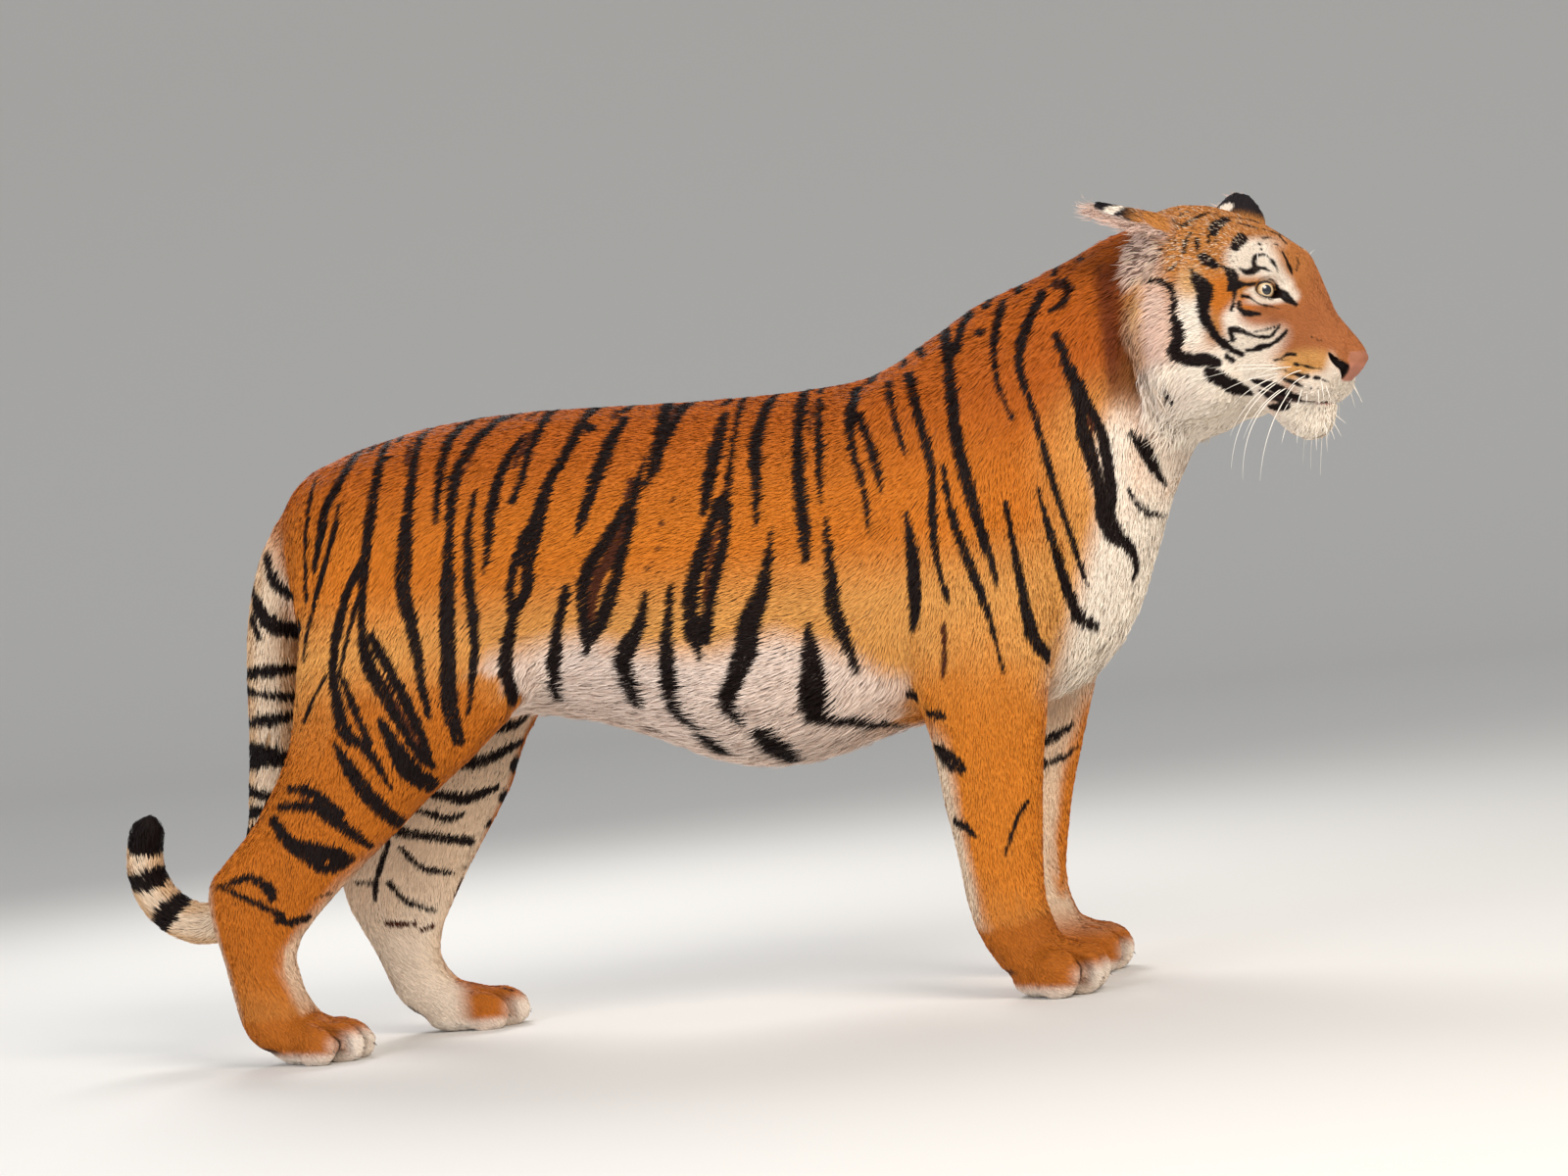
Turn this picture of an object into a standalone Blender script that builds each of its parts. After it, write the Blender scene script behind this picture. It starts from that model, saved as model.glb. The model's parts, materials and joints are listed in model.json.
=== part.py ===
"""A standing Bengal tiger, life size, as a still model divided into its named parts.

The animal faces +X, its left side is +Y, and the soles lie on z = 0. The body is
blocked out from lofts and muscles, fused and smoothed into one form, and then parted
with thin cuts. Lengths are metres. Side-view places are (x, z), counted from the
right hind paw, and the whole model is centred over the origin at the end.
"""

import math

import bmesh
import bpy
from mathutils import Euler, Matrix, Vector

# Driving dimensions
VOXEL = 0.0060            # size of the fused form's cells
BODY_TRIANGLES = 4300     # what the fused body is reduced to before it is cut
FINENESS = 0.0015         # how much more the head and paws keep
GAP = 0.0004              # clearance between neighbouring parts
RING_POINTS = 28          # points round each loft
STANCE = 0.125            # from the middle plane to a paw's centre line
NECK_TURN = math.radians(-27)   # the head looks this far to the animal's right
HEAD_PIVOT = Vector((1.405, -0.014, 0.0))
EYE_RADIUS = 0.0175
EYE_PLACE = Vector((0.2150, 0.0570, 1.010))   # left eye's centre, in the head's own frame
EYE_LOOK = Vector((0.80, 0.60, 0.02)).normalized()
TAIL_RADIUS = (0.046, 0.042, 0.039, 0.035, 0.032, 0.026)

# The trunk and neck, tail end first: top (x, z), bottom (x, z), half width, egg, fullness.
# Egg above 0 is wider below the middle, and fullness under 1 is squarer than an ellipse.
TRUNK = [
    (0.026, 0.848, 0.040, 0.640, 0.050, 0.00, 1.0),
    (0.058, 0.890, 0.075, 0.585, 0.112, 0.02, 0.95),
    (0.120, 0.920, 0.145, 0.530, 0.150, 0.03, 0.92),
    (0.257, 0.952, 0.280, 0.495, 0.160, 0.05, 0.90),
    (0.400, 0.962, 0.410, 0.491, 0.156, 0.08, 0.90),
    (0.554, 0.956, 0.550, 0.450, 0.174, 0.12, 0.90),
    (0.700, 0.949, 0.700, 0.384, 0.190, 0.15, 0.90),
    (0.840, 0.947, 0.830, 0.376, 0.190, 0.15, 0.90),
    (0.965, 0.956, 0.965, 0.412, 0.176, 0.12, 0.92),
    (1.060, 1.002, 1.090, 0.420, 0.158, 0.14, 0.95),
    (1.135, 1.046, 1.230, 0.444, 0.146, 0.08, 1.00),
    (1.210, 1.073, 1.320, 0.520, 0.130, 0.03, 1.00),
    (1.286, 1.100, 1.374, 0.636, 0.120, 0.00, 1.00),
    (1.350, 1.128, 1.410, 0.726, 0.118, 0.00, 1.00),
    (1.413, 1.142, 1.450, 0.796, 0.106, 0.00, 1.00),
]

# The head in its own frame, nape to nose, with the same columns.
HEAD = [
    (-0.030, 1.118, 0.010, 0.850, 0.084, 0.00, 1.0),
    (0.030, 1.155, 0.048, 0.806, 0.120, 0.05, 0.95),
    (0.080, 1.158, 0.096, 0.812, 0.130, 0.08, 0.92),
    (0.130, 1.144, 0.138, 0.833, 0.127, 0.08, 0.90),
    (0.190, 1.114, 0.179, 0.836, 0.112, 0.08, 0.92),
    (0.232, 1.084, 0.210, 0.796, 0.092, 0.12, 0.95),
    (0.260, 1.058, 0.236, 0.782, 0.070, 0.16, 0.95),
    (0.274, 1.030, 0.250, 0.790, 0.055, 0.16, 0.98),
    (0.282, 1.000, 0.263, 0.804, 0.048, 0.14, 0.98),
    (0.292, 0.970, 0.275, 0.824, 0.045, 0.10, 0.95),
    (0.309, 0.943, 0.290, 0.846, 0.040, 0.05, 0.92),
    (0.330, 0.917, 0.308, 0.862, 0.029, 0.00, 0.90),
]

# Head muscles and pads on the left side: centre, radii, pitch in degrees.
HEAD_FORMS = [
    ("whisker_pad", (0.251, 0.039, 0.870), (0.050, 0.036, 0.034), 12),
    ("pad_back", (0.210, 0.056, 0.884), (0.056, 0.034, 0.040), 8),
    ("muzzle_side", (0.236, 0.026, 0.922), (0.058, 0.033, 0.048), 25),
    ("cheek_bone", (0.155, 0.076, 0.965), (0.086, 0.054, 0.060), 15),
    ("jaw_muscle", (0.105, 0.080, 0.905), (0.082, 0.060, 0.078), 0),
    ("upper_ruff", (0.062, 0.106, 0.950), (0.046, 0.050, 0.090), -6),
    ("lower_ruff", (0.064, 0.075, 0.884), (0.048, 0.054, 0.066), -6),
    ("brow", (0.222, 0.041, 1.050), (0.036, 0.032, 0.026), 45),
    ("temple", (0.120, 0.056, 1.055), (0.105, 0.056, 0.072), 10),
    ("lower_lid", (0.222, 0.052, 0.984), (0.030, 0.026, 0.018), 35),
]
EAR_ROOTS = [(0.070, -0.078, 1.098), (0.104, 0.082, 1.086)]
CHIN = ((0.240, 0.0, 0.818), (0.039, 0.040, 0.035), 10)
NOSE_TIP = ((0.316, 0.0, 0.893), (0.025, 0.028, 0.024), 25)
ORBIT = (0.026, 0.021, 0.016)   # how far in front of the eye, its width and its height

# Legs, body end first: front (x, z), back (x, z), side place, half thickness, egg, fullness.
RIGHT_FORELEG = [
    (1.218, 0.690, 0.962, 0.690, 0.110, 0.070, 0.0, 0.95),
    (1.222, 0.590, 0.972, 0.580, 0.125, 0.070, 0.0, 0.95),
    (1.203, 0.500, 0.984, 0.494, 0.130, 0.064, 0.0, 0.92),
    (1.184, 0.402, 1.007, 0.400, 0.128, 0.056, 0.0, 0.92),
    (1.170, 0.315, 1.017, 0.310, 0.125, 0.051, 0.0, 0.90),
    (1.161, 0.227, 1.029, 0.224, 0.124, 0.048, 0.0, 0.90),
    (1.155, 0.150, 1.038, 0.145, 0.124, 0.049, 0.0, 0.88),
    (1.166, 0.100, 1.054, 0.090, 0.124, 0.051, 0.0, 0.88),
    (1.182, 0.064, 1.082, 0.040, 0.124, 0.048, 0.0, 0.88),
]
LEFT_FORELEG = [
    (1.268, 0.690, 1.010, 0.690, 0.110, 0.070, 0.0, 0.95),
    (1.280, 0.590, 1.030, 0.580, 0.125, 0.070, 0.0, 0.95),
    (1.268, 0.480, 1.044, 0.480, 0.130, 0.064, 0.0, 0.92),
    (1.241, 0.390, 1.058, 0.390, 0.128, 0.056, 0.0, 0.92),
    (1.212, 0.300, 1.062, 0.300, 0.125, 0.051, 0.0, 0.90),
    (1.191, 0.205, 1.063, 0.210, 0.124, 0.048, 0.0, 0.90),
    (1.182, 0.145, 1.068, 0.145, 0.124, 0.049, 0.0, 0.88),
    (1.194, 0.100, 1.084, 0.090, 0.124, 0.051, 0.0, 0.88),
    (1.210, 0.064, 1.112, 0.040, 0.124, 0.048, 0.0, 0.88),
]
RIGHT_HINDLEG = [
    (0.410, 0.760, 0.080, 0.800, 0.085, 0.062, 0.0, 0.95),
    (0.430, 0.640, 0.068, 0.700, 0.105, 0.074, 0.0, 0.95),
    (0.405, 0.530, 0.050, 0.590, 0.122, 0.080, 0.0, 0.92),
    (0.330, 0.452, 0.030, 0.480, 0.130, 0.072, 0.0, 0.92),
    (0.250, 0.392, -0.008, 0.412, 0.132, 0.060, 0.0, 0.92),
    (0.182, 0.335, -0.044, 0.362, 0.132, 0.051, 0.0, 0.92),
    (0.114, 0.280, -0.097, 0.310, 0.132, 0.045, 0.0, 0.90),
    (0.050, 0.222, -0.123, 0.278, 0.130, 0.041, 0.0, 0.90),
    (0.010, 0.176, -0.117, 0.212, 0.128, 0.038, 0.0, 0.90),
    (0.008, 0.140, -0.107, 0.165, 0.127, 0.038, 0.0, 0.90),
    (0.018, 0.100, -0.096, 0.110, 0.126, 0.040, 0.0, 0.90),
    (0.030, 0.076, -0.084, 0.056, 0.126, 0.043, 0.0, 0.90),
    (0.050, 0.050, -0.058, 0.024, 0.126, 0.044, 0.0, 0.90),
]
LEFT_HINDLEG = [
    (0.410, 0.760, 0.080, 0.800, 0.085, 0.062, 0.0, 0.95),
    (0.430, 0.640, 0.075, 0.700, 0.105, 0.074, 0.0, 0.95),
    (0.400, 0.530, 0.080, 0.590, 0.122, 0.078, 0.0, 0.92),
    (0.347, 0.450, 0.102, 0.480, 0.130, 0.068, 0.0, 0.92),
    (0.320, 0.385, 0.102, 0.400, 0.132, 0.058, 0.0, 0.92),
    (0.283, 0.326, 0.075, 0.340, 0.132, 0.051, 0.0, 0.92),
    (0.239, 0.262, 0.031, 0.288, 0.132, 0.045, 0.0, 0.90),
    (0.203, 0.200, 0.024, 0.232, 0.130, 0.040, 0.0, 0.90),
    (0.177, 0.150, 0.050, 0.172, 0.128, 0.038, 0.0, 0.90),
    (0.176, 0.110, 0.073, 0.128, 0.126, 0.039, 0.0, 0.90),
    (0.198, 0.078, 0.098, 0.062, 0.126, 0.042, 0.0, 0.90),
    (0.220, 0.052, 0.130, 0.028, 0.126, 0.043, 0.0, 0.90),
]

# Paws: the back and front ends along X, the side place, the width, the toes' height
# and the degrees that the paw is turned towards +Y.
PAWS = {
    "fore_right": (1.078, 1.240, -STANCE, 0.138, 0.080, -14),
    "fore_left": (1.110, 1.276, STANCE, 0.138, 0.080, 12),
    "hind_right": (-0.064, 0.117, -STANCE, 0.122, 0.066, -14),
    "hind_left": (0.126, 0.311, STANCE, 0.122, 0.066, 10),
}

# Shoulder and thigh muscles on the left side: centre, radii, pitch in degrees.
MUSCLES = [
    ("shoulder_blade", (1.035, 0.082, 0.790), (0.105, 0.066, 0.165), -25),
    ("upper_arm", (1.110, 0.116, 0.630), (0.110, 0.066, 0.125), 30),
    ("chest_side", (1.185, 0.066, 0.620), (0.105, 0.072, 0.130), 20),
    ("haunch", (0.200, 0.090, 0.710), (0.150, 0.074, 0.180), 15),
    ("thigh", (0.262, 0.120, 0.585), (0.145, 0.064, 0.130), 20),
    ("ribs", (0.720, 0.060, 0.640), (0.300, 0.132, 0.215), 0),
]

# The tail's middle line, root first (x, y, z). It hangs behind the thighs and curls up.
TAIL_LINE = [
    (0.115, 0.000, 0.850),
    (0.064, 0.000, 0.824),
    (0.022, 0.001, 0.765),
    (-0.006, 0.003, 0.690),
    (-0.020, 0.006, 0.600),
    (-0.028, 0.010, 0.510),
    (-0.041, 0.016, 0.420),
    (-0.058, 0.024, 0.335),
    (-0.098, 0.034, 0.255),
    (-0.160, 0.042, 0.212),
    (-0.225, 0.046, 0.228),
    (-0.265, 0.048, 0.280),
    (-0.270, 0.048, 0.335),
    (-0.258, 0.048, 0.375),
]

COLOURS = {
    "coat_orange": (0.52, 0.20, 0.045),
    "coat_white": (0.80, 0.72, 0.62),
    "coat_dark": (0.03, 0.018, 0.014),
    "eye_amber": (0.45, 0.33, 0.08),
}


def clear_scene():
    for obj in list(bpy.data.objects):
        bpy.data.objects.remove(obj)


def make_collection(name, hidden=False):
    found = bpy.data.collections.new(name)
    found.hide_render = hidden
    bpy.context.scene.collection.children.link(found)
    return found


def make_material(name):
    material = bpy.data.materials.new(name)
    material.use_nodes = True
    shader = material.node_tree.nodes["Principled BSDF"]
    shader.inputs["Base Color"].default_value = (*COLOURS[name], 1.0)
    shader.inputs["Roughness"].default_value = 0.15 if name == "eye_amber" else 0.7
    shader.inputs["Metallic"].default_value = 0.0
    return material


def add_object(name, mesh, collection, material=None):
    obj = bpy.data.objects.new(name, mesh)
    collection.objects.link(obj)
    if material:
        mesh.materials.clear()
        mesh.materials.append(material)
    return obj


def catmull_rom(rows, steps):
    """Rows of numbers with smooth rows put in between them."""
    found = []
    last = len(rows) - 1
    for i in range(last):
        before, a, b, after = (rows[min(max(k, 0), last)] for k in (i - 1, i, i + 1, i + 2))
        for step in range(steps):
            t = step / steps
            weights = (
                (-t**3 + 2 * t**2 - t) / 2,
                (3 * t**3 - 5 * t**2 + 2) / 2,
                (-3 * t**3 + 4 * t**2 + t) / 2,
                (t**3 - t**2) / 2,
            )
            found.append([sum(w * v for w, v in zip(weights, column)) for column in zip(before, a, b, after)])
    found.append(list(rows[-1]))
    return found


def rounded(value, fullness):
    return math.copysign(abs(value) ** fullness, value)


def ring(top, bottom, side, half_width, egg, fullness):
    """A closed outline through two points of the side view, as wide as half_width says."""
    middle = (top + bottom) / 2
    up = (top - bottom) / 2
    points = []
    for i in range(RING_POINTS):
        turn = 2 * math.pi * i / RING_POINTS
        height = rounded(math.cos(turn), fullness)
        width = rounded(math.sin(turn), fullness) * half_width * (1 - egg * height)
        points.append(middle + up * height + Vector((0, side + width, 0)))
    return points


def loft(shape, rings, matrix=None):
    """Adds a closed tube through the rings to the bmesh."""
    rows = [[shape.verts.new(matrix @ p if matrix else p) for p in points] for points in rings]
    for row, after in zip(rows, rows[1:]):
        for i in range(RING_POINTS):
            j = (i + 1) % RING_POINTS
            shape.faces.new((row[i], row[j], after[j], after[i]))
    shape.faces.new(rows[0][::-1])
    shape.faces.new(rows[-1])


def side_view_rings(rows, side_sign=0):
    """Rings from rows of a table. Rows with eight columns hold a side place too."""
    found = []
    for row in catmull_rom(rows, 4):
        top = Vector((row[0], 0, row[1]))
        bottom = Vector((row[2], 0, row[3]))
        side = row[4] * side_sign if len(row) == 8 else 0.0
        found.append(ring(top, bottom, side, *row[-3:]))
    return found


def ellipsoid(shape, centre, radii, pitch=0.0, yaw=0.0, matrix=None):
    turn = Euler((0, math.radians(pitch), math.radians(yaw))).to_matrix().to_4x4()
    place = Matrix.Translation(centre) @ turn @ Matrix.Diagonal((*radii, 1))
    if matrix:
        place = matrix @ place
    bmesh.ops.create_uvsphere(shape, u_segments=20, v_segments=12, radius=1.0, matrix=place)


def mirrored(centre, sign):
    return Vector((centre[0], centre[1] * sign, centre[2]))


def head_matrix():
    """Carries the head's own frame into the body's: a turn about the neck."""
    return Matrix.Translation(HEAD_PIVOT) @ Matrix.Rotation(NECK_TURN, 4, "Z")


def add_trunk(shape):
    rings = side_view_rings(TRUNK)
    for points in rings:
        # The neck leans with the turn of the head.
        lean = max(0.0, (points[0].x - 1.15) / 0.27) ** 2 * HEAD_PIVOT.y
        for p in points:
            p.y += lean
    loft(shape, rings)
    for _, centre, radii, pitch in MUSCLES:
        for sign in (-1, 1):
            ellipsoid(shape, mirrored(centre, sign), radii, pitch)


def add_head(shape):
    matrix = head_matrix()
    loft(shape, side_view_rings(HEAD), matrix)
    for _, centre, radii, pitch in HEAD_FORMS:
        for sign in (-1, 1):
            ellipsoid(shape, mirrored(centre, sign), radii, pitch, matrix=matrix)
    for centre in EAR_ROOTS:
        ellipsoid(shape, centre, (0.040, 0.034, 0.040), matrix=matrix)
    ellipsoid(shape, *CHIN, matrix=matrix)
    ellipsoid(shape, *NOSE_TIP, matrix=matrix)


def add_legs(shape):
    loft(shape, side_view_rings(RIGHT_FORELEG, -1))
    loft(shape, side_view_rings(LEFT_FORELEG, 1))
    loft(shape, side_view_rings(RIGHT_HINDLEG, -1))
    loft(shape, side_view_rings(LEFT_HINDLEG, 1))


def add_paw(shape, back, front, y, width, toe_height, turn):
    """A broad pad with a back over it, and four toes fanned out in front."""
    length = front - back
    middle = Vector((back + length / 2, y, 0))
    turned = Matrix.Translation(middle) @ Matrix.Rotation(math.radians(turn), 4, "Z")

    def lump(along, beside, height, radii, pitch=0, yaw=0):
        centre = turned @ Vector((along - length / 2, beside, height))
        ellipsoid(shape, centre, radii, pitch, yaw + turn)

    back_radii = (0.42 * length, 0.42 * width, 0.5 * toe_height)
    lump(0.46 * length, 0, 0.62 * toe_height, back_radii, 14)
    lump(0.44 * length, 0, 0.026, (0.36 * length, 0.41 * width, 0.032))
    for place in (-1.5, -0.5, 0.5, 1.5):
        ahead = 0.76 * length - 0.17 * length * (abs(place) - 0.5)
        radii = (0.25 * length, 0.145 * width, 0.50 * toe_height)
        lump(ahead, 0.262 * width * place, 0.45 * toe_height, radii, 16, 7 * place)


def evaluated_mesh(obj):
    bpy.context.view_layer.update()
    graph = bpy.context.evaluated_depsgraph_get()
    return bpy.data.meshes.new_from_object(obj.evaluated_get(graph))


def orbit_mesh(sign):
    """The hollow that an eye lies in, opened in front of it."""
    ahead, wide, high = ORBIT
    shape = bmesh.new()
    place = mirrored(EYE_PLACE + EYE_LOOK * ahead, sign)
    ellipsoid(shape, place, (wide, wide, high), matrix=head_matrix())
    mesh = bpy.data.meshes.new("orbit")
    shape.to_mesh(mesh)
    shape.free()
    return mesh


def fused_body(collection):
    """All the lofts and muscles as one smooth closed form."""
    shape = bmesh.new()
    add_trunk(shape)
    add_head(shape)
    add_legs(shape)
    for paw in PAWS.values():
        add_paw(shape, *paw)
    bmesh.ops.recalc_face_normals(shape, faces=shape.faces)
    mesh = bpy.data.meshes.new("blockout")
    shape.to_mesh(mesh)
    shape.free()
    blockout = add_object("blockout", mesh, collection)
    fuse = blockout.modifiers.new("fuse", "REMESH")
    fuse.mode = "VOXEL"
    fuse.voxel_size = VOXEL
    body = add_object("body", evaluated_mesh(blockout), collection)
    bpy.data.objects.remove(blockout)
    for sign in (-1, 1):
        orbit = add_object("orbit", orbit_mesh(sign), collection)
        body.data = boolean(body.data, orbit, "DIFFERENCE", collection)
        bpy.data.objects.remove(orbit)
    soften(body)
    return body


def soften(body):
    """Blends the muscles: much over the trunk and legs, little on the head and paws."""
    trunk = body.vertex_groups.new(name="trunk")
    coarse = body.vertex_groups.new(name="coarse")
    for vertex in body.data.vertices:
        x, _, z = vertex.co
        low = min(1.0, max(0.0, (z - 0.10) / 0.08))
        headward = min(1.0, max(0.0, (x - 1.42) / 0.08))
        weight = low * (1 - headward)
        trunk.add([vertex.index], weight, "REPLACE")
        coarse.add([vertex.index], 0.3 + 0.7 * weight, "REPLACE")
    for group, repeats in (("trunk", 40), ("", 10)):
        smooth = body.modifiers.new("smooth", "SMOOTH")
        smooth.factor = 0.5
        smooth.iterations = repeats
        smooth.vertex_group = group
    thin = body.modifiers.new("thin", "DECIMATE")
    thin.vertex_group = "coarse"
    thin.vertex_group_factor = FINENESS
    thin.use_collapse_triangulate = True
    thin.ratio = BODY_TRIANGLES / sum(len(p.vertices) - 2 for p in body.data.polygons)
    mesh = evaluated_mesh(body)
    body.modifiers.clear()
    body.vertex_groups.clear()
    body.data = mesh


def bisected(mesh, point, normal):
    """A copy of the mesh with what lies beyond the plane cut off and the cut closed."""
    shape = bmesh.new()
    shape.from_mesh(mesh)
    everything = [*shape.verts, *shape.edges, *shape.faces]
    bmesh.ops.bisect_plane(
        shape, geom=everything, dist=1e-6, plane_co=point, plane_no=normal, clear_outer=True
    )
    rim = [e for e in shape.edges if e.is_boundary]
    caps = bmesh.ops.edgenet_fill(shape, edges=rim)["faces"]
    bmesh.ops.triangulate(shape, faces=caps)
    bmesh.ops.recalc_face_normals(shape, faces=shape.faces)
    found = bpy.data.meshes.new(mesh.name)
    shape.to_mesh(found)
    shape.free()
    return found


def halves(mesh, point, normal):
    """The mesh parted at a plane: what lies behind it, then what lies beyond it."""
    point, normal = Vector(point), Vector(normal).normalized()
    behind = bisected(mesh, point - normal * GAP / 2, normal)
    beyond = bisected(mesh, point + normal * GAP / 2, -normal)
    return behind, beyond


def boolean(mesh, cutter, operation, collection):
    obj = add_object("work", mesh, collection)
    cut = obj.modifiers.new("cut", "BOOLEAN")
    cut.operation = operation
    cut.object = cutter
    found = evaluated_mesh(obj)
    if not found.polygons:
        cut.solver = "MANIFOLD"
        found = evaluated_mesh(obj)
    bpy.data.objects.remove(obj)
    return found


def prism(name, outline, near, far, collection):
    """A helper block: an outline of (y, z) drawn out along X from near to far."""
    shape = bmesh.new()
    base = [shape.verts.new((near, y, z)) for y, z in outline]
    face = shape.faces.new(base)
    drawn = bmesh.ops.extrude_face_region(shape, geom=[face])["geom"]
    moved = [v for v in drawn if isinstance(v, bmesh.types.BMVert)]
    bmesh.ops.translate(shape, verts=moved, vec=(far - near, 0, 0))
    bmesh.ops.recalc_face_normals(shape, faces=shape.faces)
    mesh = bpy.data.meshes.new(name)
    shape.to_mesh(mesh)
    shape.free()
    block = add_object(name, mesh, collection)
    block.hide_render = True
    block.display_type = "WIRE"
    return block


def leg_outline(sign, inner, slope, gap):
    """A leg's share of the cross-section: under a plane that rises away from the middle."""
    reach, edge, floor = 0.45, gap * sign, -0.05
    return [
        (edge, floor),
        (edge, inner - gap),
        (reach * sign, inner + slope * reach - gap),
        (reach * sign, floor),
    ]


def take_leg(mesh, name, sign, inner, slope, near, far, cutters):
    """Parts one leg from the body. Returns the rest and the leg."""
    wide = prism(name + "_space", leg_outline(sign, inner, slope, 0.0), near, far, cutters)
    tight = prism(name + "_share", leg_outline(sign, inner, slope, GAP), near + GAP, far - GAP, cutters)
    leg = boolean(mesh, tight, "INTERSECT", cutters)
    rest = boolean(mesh, wide, "DIFFERENCE", cutters)
    return rest, leg


def largest_piece(mesh):
    """The mesh without the loose crumbs that a cut can leave."""
    shape = bmesh.new()
    shape.from_mesh(mesh)
    unseen = set(shape.verts)
    groups = []
    while unseen:
        group, edge = set(), [unseen.pop()]
        while edge:
            vertex = edge.pop()
            group.add(vertex)
            near = {e.other_vert(vertex) for e in vertex.link_edges} & unseen
            unseen -= near
            edge.extend(near)
        groups.append(group)
    keep = max(groups, key=len)
    bmesh.ops.delete(shape, geom=[v for v in shape.verts if v not in keep], context="VERTS")
    shape.to_mesh(mesh)
    shape.free()
    return mesh


def inflated(mesh, by):
    """A copy of the mesh with its surface moved out a little."""
    shape = bmesh.new()
    shape.from_mesh(mesh)
    shape.normal_update()
    moves = [(v, v.co + v.normal * by) for v in shape.verts]
    for vertex, place in moves:
        vertex.co = place
    found = bpy.data.meshes.new(mesh.name + "_space")
    shape.to_mesh(found)
    shape.free()
    return found


def tail_mesh():
    """A tapering tube along the tail's line, rounded off at its tip."""
    line = [Vector(p) for p in catmull_rom(TAIL_LINE, 2)]
    shape = bmesh.new()
    rows = []
    sides = 12
    for i, centre in enumerate(line):
        share = i / (len(line) - 1)
        slot = share * (len(TAIL_RADIUS) - 1)
        k = min(int(slot), len(TAIL_RADIUS) - 2)
        radius = TAIL_RADIUS[k] + (TAIL_RADIUS[k + 1] - TAIL_RADIUS[k]) * (slot - k)
        along = (line[min(i + 1, len(line) - 1)] - line[max(i - 1, 0)]).normalized()
        side = Vector((0, 1, 0)).cross(along).normalized()
        across = along.cross(side)
        row = []
        for j in range(sides):
            turn = 2 * math.pi * j / sides
            spoke = side * math.cos(turn) + across * math.sin(turn)
            row.append(shape.verts.new(centre + spoke * radius))
        rows.append(row)
    for row, after in zip(rows, rows[1:]):
        for i in range(sides):
            j = (i + 1) % sides
            shape.faces.new((row[i], row[j], after[j], after[i]))
    shape.faces.new(rows[0][::-1])
    tip = shape.verts.new(line[-1] + (line[-1] - line[-2]).normalized() * TAIL_RADIUS[-1] * 0.8)
    for i in range(sides):
        shape.faces.new((rows[-1][i], rows[-1][(i + 1) % sides], tip))
    bmesh.ops.recalc_face_normals(shape, faces=shape.faces)
    mesh = bpy.data.meshes.new("tail")
    shape.to_mesh(mesh)
    shape.free()
    return mesh


# Ears: the base and tip in the head's frame, and the way that the open side faces.
EARS = {
    "right": ((0.070, -0.080, 1.116), (-0.022, -0.138, 1.163), (-0.52, -0.05, -0.85)),
    "left": ((0.112, 0.086, 1.096), (0.100, 0.142, 1.180), (-0.35, 0.45, -0.60)),
}
EAR_HALF_WIDTH = 0.046
EAR_THICKNESS = 0.011
EAR_HOLLOW = 0.020


def ear_mesh(side):
    """A cupped leaf, rounded at the top, given its thickness with Solidify."""
    base, tip, faces = (Vector(v) for v in EARS[side])
    up = tip - base
    out = faces - faces.dot(up) / up.length_squared * up
    out.normalize()
    across = up.cross(out).normalized()
    matrix = head_matrix()
    shape = bmesh.new()
    rows = []
    rows_up, columns = 6, 6
    for i in range(rows_up + 1):
        height = i / rows_up
        half = EAR_HALF_WIDTH * (1 - height**2.6) ** 0.5 * (0.86 + 0.5 * height * (1 - height))
        half = max(half, 0.012)
        row = []
        for j in range(columns + 1):
            beside = 2 * j / columns - 1
            hollow = EAR_HOLLOW * (1 - beside**2) * (1 - 0.65 * height)
            place = base + up * (height * 1.02 - 0.10) + across * beside * half - out * hollow
            row.append(shape.verts.new(matrix @ place))
        rows.append(row)
    for row, after in zip(rows, rows[1:]):
        for j in range(columns):
            shape.faces.new((row[j], row[j + 1], after[j + 1], after[j]))
    mesh = bpy.data.meshes.new("ear_" + side)
    shape.to_mesh(mesh)
    shape.free()
    return mesh


def thick_ear(side, collection):
    obj = add_object("ear_work", ear_mesh(side), collection)
    wall = obj.modifiers.new("wall", "SOLIDIFY")
    wall.thickness = EAR_THICKNESS
    wall.offset = 0.0
    mesh = evaluated_mesh(obj)
    bpy.data.objects.remove(obj)
    shape = bmesh.new()
    shape.from_mesh(mesh)
    bmesh.ops.triangulate(shape, faces=shape.faces)
    bmesh.ops.recalc_face_normals(shape, faces=shape.faces)
    shape.to_mesh(mesh)
    shape.free()
    return mesh


def eye_mesh(place, radius, name):
    shape = bmesh.new()
    bmesh.ops.create_uvsphere(shape, u_segments=14, v_segments=9, radius=radius)
    bmesh.ops.translate(shape, verts=shape.verts, vec=place)
    mesh = bpy.data.meshes.new(name)
    shape.to_mesh(mesh)
    shape.free()
    mesh.shade_smooth()
    return mesh


def centred(objects):
    """Moves all the parts so that their box stands over the origin."""
    corners = [obj.matrix_world @ v.co for obj in objects for v in obj.data.vertices]
    middle_x = (min(c.x for c in corners) + max(c.x for c in corners)) / 2
    middle_y = (min(c.y for c in corners) + max(c.y for c in corners)) / 2
    for obj in objects:
        obj.data.transform(Matrix.Translation((-middle_x, -middle_y, 0)))


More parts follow.
